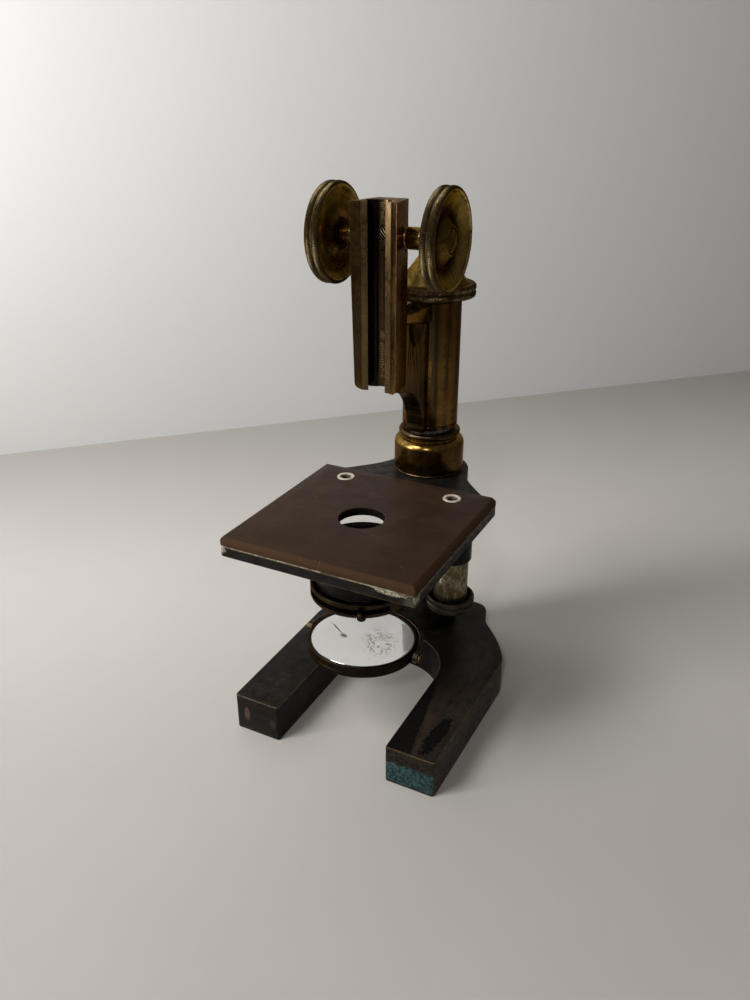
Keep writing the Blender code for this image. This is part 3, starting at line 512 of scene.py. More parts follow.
def ebonite():
    """Oxidised hard rubber: chocolate brown, browner on the bevel, fine scratches and pale specks."""
    low, high = span("stage_top")
    f = Finish("aged_ebonite", specular=0.07)
    f.base = f.mix(f.cloud(0.36, 0.66, 22, 5, 0.6, twist=0.5), (0.029, 0.016, 0.0095),
                   (0.042, 0.0235, 0.0145))
    fine = f.cloud(0.35, 0.68, 1.4, 5, 0.7, shift=3)
    f.paint(fine, (0.046, 0.028, 0.019), 0.3)
    bevel = f.band(f.z, high.z - 0.15, high.z - 0.5)
    f.paint(bevel, f.mix(f.noise(3, 5, 0.65, shift=5), (0.046, 0.023, 0.01), (0.082, 0.043, 0.019)), 0.85)
    near_rim = f.band(f.either(f.extent(f.x), f.extent(f.minus(f.y, middle("stage_top").y))), 34, 45)
    f.paint(near_rim, (0.05, 0.027, 0.014), 0.35)
    crack = f.both(f.within(f.x, 3, 3.22, 0.06), f.band(f.y, low.y + 2.4, low.y + 1.2))
    f.paint(crack, (0.15, 0.1, 0.066), 0.7)
    dust = f.both(f.specks(5.2, 0.042, 2), f.cloud(0.36, 0.48, 12, 2, shift=2))
    scratch = f.cloud(0.7, 0.78, 0.7, 2, 0.5, stretch=(18, 1, 1), shift=17, twist=0.3)
    marks = f.either(dust, f.times(scratch, 0.25))
    f.paint(marks, (0.3, 0.26, 0.22), 0.8)
    rub = f.both(f.worn_edges(0.4), f.cloud(0.38, 0.58, 1.8, 5, 0.65, shift=9))
    f.paint(rub, (0.175, 0.105, 0.062), 0.6)
    roughness = f.band(f.noise(7, 5, 0.62, shift=4), 0.3, 0.7, 0.36, 0.5)
    # The hole's wall is painted near black: the dark ebonite with painted shade inside the hole.
    hole = f.both(f.band(f.from_axis(OPTICAL_AXIS, "xy"), 10.45, 10.15),
                  f.band(f.z, high.z - 0.1, high.z - 0.4))
    f.paint(hole, (0.0045, 0.0035, 0.003))
    roughness = f.plus(roughness, f.times(f.either(bevel, hole), 0.28))
    f.bump((f.noise(1.1, 4, 0.6), 0.018), (scratch, -0.015), (crack, -0.08))
    return f.finish(roughness)


def ivory():
    f = Finish("ivory_bushing", coat=0.1)
    f.base = f.mix(f.cloud(0.35, 0.65, 1.4, 5, 0.65), (0.42, 0.38, 0.28), (0.6, 0.56, 0.45))
    grime = f.both(f.cloud(0.42, 0.6, 0.8, 5, 0.7, shift=4), f.worn_edges(0.5))
    f.paint(grime, (0.09, 0.075, 0.05))
    for side in ("left", "right"):
        rim = f.from_axis(middle("clip_bushing_" + side), "xy")
        f.paint(f.band(rim, 2.75, 2.45), (0.045, 0.034, 0.02))
    f.bump((f.noise(0.5, 4, 0.6), 0.03))
    return f.finish(f.band(f.noise(1, 3), 0.3, 0.7, 0.4, 0.62))


def putty():
    """Old cement in the seam under the stage top, chipped to cream and olive."""
    f = Finish("seam_cement")
    f.base = f.mix(f.cloud(0.36, 0.62, 1.6, 5, 0.7), (0.5, 0.47, 0.36), (0.16, 0.15, 0.085))
    f.paint(f.cloud(0.44, 0.6, 5, 3, 0.6, shift=7), (0.085, 0.062, 0.04))
    f.bump((f.noise(0.4, 4, 0.7), 0.08))
    return f.finish(f.band(f.noise(1), 0.3, 0.7, 0.55, 0.85))


def nickel():
    """Nickel plate gone patchy: grey-white crust over olive and brown brass."""
    f = Finish("worn_nickel", metallic=0.85)
    bare = f.cloud(0.38, 0.6, 2.6, 7, 0.74, stretch=(1, 1, 1.8), twist=0.3)
    f.base = f.mix(f.cloud(0.3, 0.7, 1.2, 5, 0.7, shift=3), (0.24, 0.22, 0.155), (0.4, 0.375, 0.29))
    f.paint(bare, f.mix(f.noise(1.6, 4, 0.6, shift=6), (0.1, 0.072, 0.02), (0.185, 0.14, 0.055)))
    dark = f.cloud(0.54, 0.66, 1, 6, 0.75, shift=11)
    f.paint(dark, (0.035, 0.029, 0.02), 0.8)
    # The tube is painted darker just above the nut, a painted shade where it meets the nut.
    foot_shade_line = f.band(f.z, span("substage_nut")[1].z + 2.6, span("substage_nut")[1].z + 0.6)
    f.paint(foot_shade_line, (0.07, 0.06, 0.035), 0.8)
    f.bump((bare, -0.03), (f.noise(0.45, 4, 0.7), 0.03))
    return f.finish(f.band(f.noise(2, 4, 0.6, shift=2), 0.3, 0.7, 0.36, 0.62))


def silvered_glass():
    """A bright mirror with rust blooms in the silver: a streak, a peppered patch, scattered dots."""
    f = Finish("silvered_glass", metallic=0.6)
    at = TILT_AXIS
    streak = patch(f, (at.x - 14.6, at.y + 2, at.z), (5.4, 0.5, 4), -32, 0.6, 0.5, 1.2)
    blot = patch(f, (at.x - 9.2, at.y - 1.6, at.z), (1.9, 1.3, 4), -20, 0.6, 0.6, 1)
    pepper = f.both(f.specks(1.1, 0.55, 5), f.cloud(0.38, 0.46, 2.2, 3, shift=8),
                    patch(f, (at.x + 7.5, at.y + 0.5, at.z), (7.4, 11, 6), 30, 0.3, 0.8))
    dots = f.both(f.specks(2.6, 0.1, 9), f.cloud(0.46, 0.56, 7, 2, shift=4))
    rust = f.either(streak, blot, pepper, dots)
    haze = f.cloud(0.5, 0.72, 9, 5, 0.6, shift=8, twist=0.7)
    f.base = f.mix(f.times(haze, 0.25), (0.93, 0.93, 0.91), (0.74, 0.74, 0.71))
    f.paint(rust, (0.2, 0.145, 0.085), 0.8)
    rough = f.plus(f.band(haze, 0, 1, 0.03, 0.09), f.times(rust, 0.45))
    f.bump((rust, 0.02))
    return f.finish(rough)


def steel(name="blued_steel", light=(0.26, 0.26, 0.27), dark=(0.1, 0.1, 0.11), tips=None):
    f = Finish(name, metallic=1)
    f.base = f.mix(f.cloud(0.35, 0.65, 3, 5, 0.65), light, dark)
    if tips:
        # The tooth roots are painted near black as shade in the gaps between the teeth; the crests stay
        # lighter.
        crest = f.band(f.from_axis(PINION, "yz"), tips - 0.22, tips - 0.04)
        f.base = f.mix(crest, (0.004, 0.003, 0.002), (0.3, 0.24, 0.15))
    rust = f.cloud(0.58, 0.68, 1.6, 5, 0.7, shift=6)
    f.paint(rust, (0.1, 0.055, 0.03), 0.7)
    f.bump((f.noise(0.4, 4, 0.65), 0.012), (f.lines(f.z, 0.15), 0.006))
    return f.finish(f.band(f.noise(1.5, 4, 0.6, shift=2), 0.3, 0.7, 0.28, 0.5))


# ---- shapes that several pieces share -------------------------------------------------------
FOOT_FRONT = span("horseshoe_foot")[0].y
CROWN = 1.9                    # width of the stage top's bevel
LUG_SLOPE = 0.19               # how the lug's lower edge climbs toward the block
HUB_TOP = 86                   # top of the substage arm's hub
BARREL_RADIUS = 13.3
NECK_WALL = -12.9              # where the neck starts, inside the barrel's wall
SIDEWAYS = (0.89, 0.456)       # a level direction across the barrel, to the front right
SCREW_NODES = [node for node in SLOT_OF if node.startswith("stage_screw_")]
STAGE_CORNERS = {"front_right": 0.9, "back_right": 2.4, "back_left": 1.2, "front_left": 2.4}


def loft(name, rings, material):
    """A closed piece through rings of points that all have the same count."""
    count = len(rings[0])
    verts = [point for ring in rings for point in ring]
    faces = [tuple(reversed(range(count))), tuple(range(len(verts) - count, len(verts)))]
    for level in range(len(rings) - 1):
        start = level * count
        faces += [(start + i, start + (i + 1) % count, start + (i + 1) % count + count,
                   start + i + count) for i in range(count)]
    return smooth(new_object(name, verts, faces, material))


def stage_outline(inset, steps=7):
    """The square stage's outline, set in by a width, with its own radius at each corner."""
    low, high = span("stage_top")
    result = []
    for label, sx, sy, start in (("front_right", 1, -1, -90), ("back_right", 1, 1, 0),
            ("back_left", -1, 1, 90), ("front_left", -1, -1, 180)):
        radius = max(STAGE_CORNERS[label] - inset, 0.08)
        x = high.x - inset - radius if sx > 0 else low.x + inset + radius
        y = high.y - inset - radius if sy > 0 else low.y + inset + radius
        result += arc((x, y), radius, start, start + 90, steps)
    return result


def slotted_screw(name, material, node, aim, radius, crown=0.5, slot_turn=0, slot_width=0.7, depth=0.9):
    """A cheese-head screw with a domed, slotted head at the outer end of its CAD node's box."""
    low, high = span(node)
    centre = (low + high) / 2
    axis = {"X": Vector((1, 0, 0)), "-X": Vector((-1, 0, 0)), "Z": Vector((0, 0, 1)),
            "-Z": Vector((0, 0, -1)), "Y": Vector((0, 1, 0))}[aim]
    half = abs((high - low).dot(axis)) / 2
    shank = radius * 0.52
    head = 1.5 if radius > 3 else 1.1
    profile = [(0, half), (radius * 0.6, half - crown * 0.25, 0.6), (radius - 0.35, half - crown * 0.7),
               (radius, half - crown), (radius, half - head), (shank, half - head), (shank, -half),
               (0, -half)]
    screw = turned(name, profile, material, centre, aim, sides=48, closed=False, fillet=0.15)
    turn = axis.to_track_quat("Z", "Y").to_matrix().to_4x4() @ Matrix.Rotation(math.radians(slot_turn), 4,
            "Z")
    a, b, c = radius * 1.3, slot_width / 2, depth
    corners = [(x, y, z) for z in (half - c, half + 1) for x, y in ((-a, -b), (a, -b), (a, b), (-a, b))]
    slot = new_object("slot", [turn @ Vector(p) + centre for p in corners],
                      [(0, 3, 2, 1), (4, 5, 6, 7), (0, 1, 5, 4), (1, 2, 6, 5), (2, 3, 7, 6), (3, 0, 4, 7)])
    return stand_for(cut(screw, smooth(slot)), node)


# ---- the finishes ---------------------------------------------------------------------------
def block_wear(f, roughness):
    """The dovetail block: a channel darkened by painted shade with its left wall painted black as shadow, a
    purple upper side, rack ticks, worn edge.
    """
    low, high = span("coarse_block")
    # Painted shade darkens the channel, and its left wall is painted near black as the shadow in the
    # undercut.
    channel = f.both(f.within(f.x, -8.5, 8.5, 0.2), f.band(f.y, low.y + 3.2, low.y + 5.5),
                     f.band(f.y, high.y - 5, high.y - 7))
    f.paint(channel, (0.05, 0.03, 0.016), 0.55)
    wall = f.both(channel, f.band(f.x, -1.9, -3))
    f.paint(wall, (0.006, 0.004, 0.003), 0.9)
    strip = f.both(f.within(f.extent(f.x), 3.5, 6.6, 0.12), f.band(f.y, low.y + 3.6, low.y + 3),
                   f.band(f.x, 0, 1, 1, 0.55))
    f.paint(strip, f.mix(f.noise(5, 4, 0.6, stretch=(1, 1, 8), shift=19), (0.092, 0.063, 0.028),
                         (0.15, 0.108, 0.054)), 0.62)
    olive = f.both(f.band(f.x, -6.4, -7), f.cloud(0.42, 0.58, 8, 4, 0.6, stretch=(1, 1, 5), shift=29))
    f.paint(olive, (0.085, 0.062, 0.026), 0.6)
    step = f.within(f.extent(f.x), 6.55, 6.8, 0.06)
    f.paint(step, (0.02, 0.013, 0.008), 0.8)
    right = f.both(f.band(f.x, 6.6, 7.6), f.cloud(0.36, 0.55, 9, 4, 0.6, stretch=(1, 1, 3), shift=3),
                   f.band(f.z, high.z - 42, high.z - 24))
    f.paint(right, (0.06, 0.038, 0.028), 0.6)
    lower = f.both(f.band(f.x, 7, 8.4), f.band(f.z, low.z + 26, low.z + 12))
    f.paint(lower, (0.19, 0.115, 0.05), 0.5)
    groove = f.both(f.within(f.x, -1.7, 1.7, 0.15), f.either(f.within(f.z, high.z - 11.5, high.z - 1, 0.6),
            f.within(f.z, low.z + 4, low.z + 24, 0.8)))
    wave = f.math("SINE", f.times(f.z, math.tau / 0.7))
    ticks = f.both(groove, f.band(wave, 0.05, 0.75), f.cloud(0.36, 0.55, 2.6, 4, 0.6, shift=13))
    f.paint(ticks, (0.44, 0.31, 0.17), 0.75)
    f.layers.append((ticks, 0.05))
    return roughness


def limb_wear(f, roughness):
    """Stains that ring the barrel low down, dark runs below the scoops, painted shade in the cove and under
    the lug, a painted shadow line round the barrel's foot, and painted shade and highlight bands down the
    barrel.
    """
    low, high = span("barrel")
    # The cove under the neck is painted dark as shade.
    cove = f.both(f.band(f.y, -15.6, -17), f.band(f.z, 175, 164), f.band(f.z, 130.5, 133))
    f.paint(cove, (0.02, 0.014, 0.009), 0.82)
    rings = f.both(f.band(f.z, low.z + 27, low.z + 8), f.cloud(0.46, 0.6, 2.2, 4, 0.6, stretch=(12, 12, 1),
            shift=3))
    f.paint(rings, (0.155, 0.095, 0.042), 0.55)
    olive = f.both(f.cloud(0.46, 0.6, 4.6, 3, 0.5, stretch=(1, 1, 14), shift=22),
                   f.band(f.z, low.z + 9, low.z + 25))
    f.paint(olive, (0.105, 0.072, 0.028), 0.6)
    run = f.both(f.cloud(0.56, 0.66, 2, 2, 0.5, stretch=(1, 1, 22), shift=31),
                 f.band(f.z, low.z + 12, low.z + 30))
    f.paint(run, (0.055, 0.036, 0.03), 0.75)
    # A painted shadow line round the foot of the barrel, where it stands in the collar.
    foot_shade_line = f.band(f.z, low.z + 3.4, low.z + 1.2)
    f.paint(foot_shade_line, (0.016, 0.009, 0.004), 0.9)
    # Upright bands across the barrel as the camera sees it: the dark ones are painted shade, the amber ones
    # a painted highlight.
    across = f.plus(f.times(f.x, SIDEWAYS[0]), f.times(f.y, SIDEWAYS[1]))
    across = f.plus(across, f.times(f.noise(3, 3, 0.5, stretch=(1, 1, 20), shift=37), 1.6))
    round_part = f.band(f.y, -13.6, -13.1)
    shade = f.both(round_part, f.either(f.within(across, 0.9, 3.1, 0.5), f.band(across, 11.6, 12.8)))
    f.paint(shade, (0.026, 0.014, 0.004), 0.7)
    amber_highlight = f.both(round_part, f.either(f.within(across, 3.8, 6, 0.6), f.within(across, 8.4, 10.6, 0.7)))
    f.paint(amber_highlight, (0.24, 0.125, 0.022), 0.35)
    climb = f.plus(f.z, f.times(f.minus(f.y, NECK_WALL), LUG_SLOPE))
    lug = f.both(f.band(f.y, -13.4, -13.9), f.band(climb, high.z - 7.9, high.z - 7.5),
                 f.band(f.x, 3.6, 4.6))
    side_face = f.both(f.band(f.y, -13.4, -14.4), f.band(f.x, 3.4, 4), f.band(f.z, low.z + 22, low.z + 34))
    gold = f.either(lug, f.times(side_face, 0.5))
    f.paint(gold, (0.4, 0.24, 0.065), 0.6)
    # A dark line just under the lug is painted shade.
    under = f.both(f.band(f.y, -13.4, -13.9), f.within(climb, high.z - 8.9, high.z - 7.8, 0.15))
    f.paint(under, (0.03, 0.016, 0.005), 0.8)
    f.layers.append((f.noise(1, 4, 0.6, shift=27), 0.012))
    return f.plus(roughness, f.times(f.either(run, cove), 0.15))


def knob_wear(f, roughness):
    """Brown patina in clouds and freckles, grey metal where the fingers polished the milling, painted shade
    in the outer face's crease and on the inner face, and a painted highlight on the outer slope.
    """
    rim = f.from_axis(PINION, "yz")
    milled = f.band(rim, 18.9, 19.4)
    f.paint(milled, f.mix(f.cloud(0.38, 0.62, 1.6, 4, 0.6, shift=3), (0.06, 0.047, 0.028),
                          (0.03, 0.022, 0.012)), 0.88)
    outer_face = f.band(f.extent(f.x), 23.4, 23.7)
    cloud = f.both(f.cloud(0.5, 0.62, 3.6, 6, 0.7, shift=18, twist=0.4), f.band(rim, 19.2, 18.2),
                   f.band(outer_face, 0, 1, 0.3, 1))
    f.paint(cloud, (0.08, 0.048, 0.024), 0.75)
    # The crease in the outer face is painted dark as shade.
    crease_shade = f.both(outer_face, f.within(rim, 8.6, 12.9, 1.1))
    # The slope between rim and crease is painted lighter as a highlight.
    slope = f.both(outer_face, f.within(rim, 14.6, 17.6, 0.8))
    f.paint(slope, (0.45, 0.31, 0.09), 0.35)
    # On the inner face, a ring by the hub and a band further out are painted dark as shade.
    neck = f.both(f.band(outer_face, 1, 0), f.either(f.band(rim, 7.2, 6.2),
            f.times(f.within(rim, 9.5, 12.5, 1.2), 0.6)))
    f.paint(f.either(crease_shade, neck), (0.02, 0.012, 0.004), 0.9)
    seat = f.both(outer_face, f.within(rim, 4.4, 5.1, 0.15))
    f.paint(seat, (0.02, 0.012, 0.005), 0.85)
    rub = f.both(f.within(rim, 18.2, 18.9, 0.12), f.cloud(0.34, 0.5, 3, 4, 0.6, shift=23))
    f.paint(rub, (0.62, 0.45, 0.18), 0.7)
    return f.plus(roughness, f.times(f.either(cloud, milled), 0.14))


def head_wear(f, roughness):
    """The milled rings and the flat under them are nearly black, the cone is freckled yellow."""
    radius = f.from_axis(middle("fine_focus_head"), "xy")
    dark = f.band(radius, 15.6, 16.1)
    grey = f.mix(f.cloud(0.36, 0.64, 2, 5, 0.65, shift=4), (0.105, 0.078, 0.043), (0.032, 0.022, 0.012))
    f.paint(dark, grey, 0.88)
    worn = f.both(f.band(radius, 19.15, 19.35), f.cloud(0.42, 0.6, 3, 4, 0.6, shift=9))
    f.paint(worn, (0.38, 0.29, 0.17), 0.5)
    return f.plus(roughness, f.times(dark, 0.1))


def ring_wear(f, roughness):
    """The mirror cell is nearly black outside with a brighter inner lip."""
    radius = f.from_axis(TILT_AXIS, "xy")
    lip = f.within(radius, 23.2, 24.5, 0.25)
    f.paint(lip, (0.11, 0.088, 0.055), 0.45)
    return roughness


def collar_wear(f, roughness):
    """The rounded shoulder is painted gold as a highlight, the lip above it is grey, and a dark line of
    painted shadow runs round below.
    """
    low, high = span("column_collar")
    lip = f.band(f.z, high.z - 2.9, high.z - 2.2)
    f.paint(lip, (0.07, 0.05, 0.028), 0.8)
    # The dark line round the bottom of the collar is a painted shadow.
    base = f.band(f.z, low.z + 2.2, low.z + 0.7)
    f.paint(base, (0.1, 0.065, 0.032), 0.7)
    # The rounded shoulder is painted gold as a highlight.
    shoulder_highlight = f.both(f.band(f.z, high.z - 7.4, high.z - 5.4), f.band(f.z, high.z - 3, high.z - 4))
    f.paint(shoulder_highlight, (0.42, 0.26, 0.07), 0.55)
    run = f.cloud(0.44, 0.62, 2.6, 3, 0.5, stretch=(1, 1, 18), shift=12)
    f.paint(run, (0.04, 0.02, 0.005), 0.4)
    return f.minus(roughness, f.times(shoulder_highlight, 0.08))


def case_wear(f, roughness):
    """A dark band along the top of the iris case."""
    rim = span("iris_case")[1].z
    top = f.band(f.z, rim - 0.7, rim - 0.3)
    f.paint(top, (0.016, 0.012, 0.009), 0.85)
    return roughness


GOLD = (0.4, 0.235, 0.06)
OLIVE = (0.2, 0.115, 0.026)
BROWN = (0.085, 0.048, 0.014)

LACQUER = black_lacquer("black_lacquer", foot_wear)
PLATE_LACQUER = black_lacquer("plate_lacquer", stage_plate_wear, gloss=0.42)
FORK_LACQUER = black_lacquer("fork_lacquer", gloss=0.3)
PILLAR_LACQUER = black_lacquer("pillar_lacquer", gloss=0.24)
EBONITE = ebonite()
IVORY = ivory()
CEMENT = putty()
NICKEL = nickel()
GLASS = silvered_glass()
STEEL = steel()
DARK_STEEL = steel("dark_steel", (0.105, 0.085, 0.06), (0.04, 0.032, 0.024))
PINION_STEEL = steel("pinion_steel", tips=(span("pinion")[1].z - span("pinion")[0].z) / 2)
BARREL_BRASS = brass("barrel_brass", (0.235, 0.125, 0.022), (0.095, 0.05, 0.009), (0.028, 0.014, 0.004),
                     0.2, streaks=0.85, spots=0.35, patina=0.6, turning="Z", coat=0.15, extra=limb_wear)
COLLAR_BRASS = brass("collar_brass", (0.125, 0.066, 0.013), (0.08, 0.041, 0.007), (0.036, 0.018, 0.005),
                     0.3, spots=0.15, patina=0.25, turning="Z", coat=0.18, extra=collar_wear)
BLOCK_BRASS = brass("block_brass", (0.2, 0.118, 0.042), (0.105, 0.06, 0.02), (0.04, 0.022, 0.009), 0.3,
                    streaks=0.85, spots=0.3, patina=0.6, coat=0.09, edges=0.7, extra=block_wear)
KNOB_BRASS = brass("knob_brass", (0.33, 0.215, 0.05), (0.18, 0.11, 0.022), (0.06, 0.034, 0.008), 0.27,
                   spots=0.9, patina=0.6, turning=(PINION, "yz"), coat=0.06, edges=0.6, extra=knob_wear)
SLEEVE_BRASS = brass("sleeve_brass", (0.62, 0.41, 0.125), (0.4, 0.25, 0.07), (0.17, 0.1, 0.03), 0.24,
                     spots=0.25, patina=0.4, turning=(PINION, "yz"), coat=0.09)
HEAD_BRASS = brass("head_brass", (0.235, 0.162, 0.048), (0.135, 0.088, 0.024), (0.05, 0.03, 0.009), 0.32,
                   spots=0.95, patina=0.6, turning=(middle("fine_focus_head"), "xy"), coat=0.045, edges=0.5,
                   extra=head_wear)
CAP_BRASS = brass("pinion_cap_brass", GOLD, OLIVE, BROWN, 0.3, streaks=0.4, spots=0.35, patina=0.5,
                  edges=0.5)
SCREW_BRASS = brass("screw_brass", (0.3, 0.195, 0.07), (0.16, 0.1, 0.036), (0.06, 0.036, 0.015), 0.34,
                    spots=0.5, patina=0.6, edges=0.6)
RING_BRONZE = brass("ring_bronze", (0.03, 0.023, 0.015), (0.015, 0.011, 0.007), (0.006, 0.005, 0.004), 0.42,
                    spots=0.4, patina=0.55, turning="Z", coat=0.045, edges=0.6, extra=ring_wear)
CASE_BRONZE = brass("case_bronze", (0.06, 0.044, 0.027), (0.026, 0.019, 0.011), (0.009, 0.007, 0.005), 0.42,
                    spots=0.4, patina=0.6, turning="Z", coat=0.045, edges=0.5, extra=case_wear)
NUT_BRONZE = brass("nut_bronze", (0.105, 0.09, 0.064), (0.05, 0.042, 0.028), (0.016, 0.013, 0.009), 0.4,
                   spots=0.5, patina=0.55, turning=(POST, "xy"), coat=0.03, edges=0.6)


# ---- foot, pillar and stage -----------------------------------------------------------------
def make_foot():
    """Horseshoe foot with its rims rounded off, standing on the table."""
    low, high = span("horseshoe_foot")
    prong, inner = 51.1, 27.6
    half = arc((0, -49), inner, 90, 0, 30)
    half += [(inner, FOOT_FRONT, 1.3), (prong, FOOT_FRONT, 1.8), (high.x, -22.7, 6), (51.5, -19, 3),
             (49.4, -14.8, 4), (46.4, -9.6, 4), (42.2, -3.8, 4), (38, 1.5, 4), (33.6, 6.1, 2.2),
             (31.6, 9.6, 2.2), (30.2, 14.3, 2.2), (28.9, 18.8, 2.6), (26.2, 22.4, 2.6), (21.6, high.y, 2.6)]
    outline = rounded(half + [(-p[0], *p[1:]) for p in reversed(half[1:])], 0, steps=5)
    foot = slab("foot_detail", outline, low.z, high.z, LACQUER, edge=0.5, lower_edge=0.4, segments=3)
    stand_for(foot, "horseshoe_foot")


def make_pillar():
    low, high = span("pillar")
    radius = (high.x - low.x) / 2
    profile = [(0, high.z), (radius, high.z), (radius, low.z), (0, low.z)]
    pillar = turned("pillar_detail", profile, PILLAR_LACQUER, sides=192, closed=False, fillet=0.4)
    stem = middle("mirror_fork").z
    bore(pillar, 3.3, (0, 0, stem), 4, radius + 2, aim="-Y")
    stand_for(pillar, "pillar")


def stage_boss(name, low, high, material):
    """The bracket behind the stage: two coves that run into the round boss on the pillar."""
    back = span("stage_top")[1].y + GAP
    half = [(41.5, back), (37, -21.6, 6), (33, -17.6, 6), (28, -12.2, 6), (24.4, -8.2, 5), (21.2, -3, 3)]
    half += arc((0, 0), 19.8, 0, 90, 24)
    outline = rounded(half + [(-p[0], *p[1:]) for p in reversed(half[:-1])], 0, steps=5)
    return slab(name, outline, low, high, material, edge=0.6, lower_edge=0.25)


def make_stage():
    low, high = span("stage_top")
    crown = [(0.25, low.z), (0, low.z + 0.25), (0, high.z - CROWN), (0.22, high.z - CROWN * 0.8),
             (CROWN * 0.84, high.z - 0.2), (CROWN * 1.08, high.z)]
    top = loft("stage_top_detail", [[(x, y, z) for x, y in stage_outline(inset)] for inset, z in crown],
               EBONITE)
    bore(top, 10, (OPTICAL_AXIS.x, OPTICAL_AXIS.y, 0), low.z, high.z, flare=0.35, sides=120)
    for side in ("left", "right"):
        at = middle("clip_bushing_" + side)
        bore(top, 4.28, (at.x, at.y, 0), low.z - 1, high.z + 1, sides=64)
    stand_for(top, "stage_top")

    floor_z, boss_top = span("stage_plate")[0].z, span("stage_plate")[1].z
    plate_top = low.z - GAP
    rim = [(0.35, floor_z), (0.1, floor_z + 0.3), (0.1, plate_top - 0.3), (0.35, plate_top)]
    plate = loft("stage_plate_detail", [[(x, y, z) for x, y in stage_outline(inset)] for inset, z in rim],
                 PLATE_LACQUER)
    cut(plate, stage_boss("boss", floor_z, boss_top, PLATE_LACQUER), "UNION")
    bore(plate, 21.5, (OPTICAL_AXIS.x, OPTICAL_AXIS.y, 0), floor_z, plate_top, flare=0.3, sides=144)
    for side in ("left", "right"):
        at = middle("clip_bushing_" + side)
        bore(plate, 2.2, (at.x, at.y, 0), floor_z - 1, plate_top + 1, sides=40)
    for node in SCREW_NODES:
        at = middle(node)
        bore(plate, 3, (at.x, at.y, 0), floor_z - 1, floor_z + 1.9, sides=40)
    stand_for(plate, "stage_plate")
    seam = stage_seam(plate_top, low.z)
    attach(seam, BODY_OF["stage_plate"])


def stage_seam(low, high):
    """Ragged strip of old cement that fills the seam under the stage top and chips out of it."""
    outline = rounded(stage_outline(0, 9), 0)
    count = len(outline)
    rings, dense = [], []
    for i in range(count):
        a, b = Vector(outline[i]), Vector(outline[(i + 1) % count])
        steps = max(1, int((b - a).length / 0.5))
        dense += [a.lerp(b, k / steps) for k in range(steps)]
    centre = sum(dense, Vector((0, 0))) / len(dense)
    front = span("stage_top")[0].y
    chips = ((40.5, front, 4, 0.75), (34, front, 2.6, 0.6), (27, front, 1.6, 0.35),
             (-44, front + 0.6, 2.6, 0.6), (44.9, -100, 3, 0.35), (44.9, -60, 2, 0.3))
    for reach, level in ((1.2, -1), (0, -1), (0, 1), (1.2, 1)):
        ring = []
        for p in dense:
            ragged = noise.noise(Vector((p.x * 0.9, p.y * 0.9, level * 3)))
            fine = noise.noise(Vector((p.x * 2.7, p.y * 2.7, level * 5)))
            proud = 0.02 + 0.05 * ragged
            swell = 0.06 * ragged + 0.05 * fine
            for x, y, width, size in chips:
                near = max(0, 1 - ((p - Vector((x, y))).length / width) ** 2)
                swell += size * near * (0.75 + 0.5 * ragged)
            inward = (centre - p).normalized()
            where = p + inward * (reach + 0.09 - proud)
            z = (low + high) / 2 + level * ((high - low) / 2 + max(-0.08, swell))
            ring.append((where.x, where.y, z))
        rings.append(ring)
    verts = [v for ring in rings for v in ring]
    n = len(dense)
    faces = [(l * n + i, l * n + (i + 1) % n, ((l + 1) % 4) * n + (i + 1) % n,
              ((l + 1) % 4) * n + i) for l in range(4) for i in range(n)]
    return smooth(new_object("stage_seam", verts, faces, CEMENT), 60)


def make_bushings():
    """Ivory rings in the stage: a flat rim, then a countersink down to the clip's hole."""
    for side in ("left", "right"):
        node = "clip_bushing_" + side
        low, high = span(node)
        at = middle(node)
        outer = (high.x - low.x) / 2
        profile = [(1.9, high.z - 0.9, 0.1), (2.9, high.z - 0.02, 0.15), (outer - 0.1, high.z, 0.25),
                   (outer, high.z - 0.45), (outer, low.z), (1.9, low.z)]
        stand_for(turned(node + "_detail", profile, IVORY, (at.x, at.y, 0), sides=72), node)


# ---- column and limb ------------------------------------------------------------------------
def make_collar():
    """Collar round the foot of the barrel: a straight drum, a rounded shoulder and a beaded lip."""
    low, high = span("column_collar")
    radius = (high.x - low.x) / 2
    bore_radius = 12.2
    profile = [(bore_radius, high.z), (14.1, high.z, 0.3), (14.7, high.z - 0.5, 0.3),
               (15, high.z - 1.3, 0.4), (14.8, high.z - 2.3, 0.4), (14, high.z - 3.1, 0.15),
               (14.2, high.z - 3.75, 0.15)]
    profile += [(x, z) for x, z in arc((radius - 4, high.z - 7.6), 4, 76, 2, 12, 3.75)]
    profile += [(radius, low.z + 1.4), (radius - 0.25, low.z + 1.15, 0.1),
                (radius - 0.25, low.z + 0.85, 0.1), (radius, low.z + 0.6), (radius - 0.15, low.z),
                (bore_radius, low.z)]
    stand_for(turned("collar_detail", profile, COLLAR_BRASS, sides=192, fillet=0.15), "column_collar")


def upright(obj):
    """Turn a slab drawn in a side view so that its outline is (y, z) and its thickness runs along X."""
    obj.data.transform(Matrix(((0, 0, 1, 0), (1, 0, 0, 0), (0, 1, 0, 0), (0, 0, 0, 1))))
    return obj


def facing(obj):
    """Turn a slab drawn in a front view so that its outline is (x, z) and its thickness runs along Y."""
    obj.data.transform(Matrix(((1, 0, 0, 0), (0, 0, 1, 0), (0, 1, 0, 0), (0, 0, 0, 1))))
    return obj


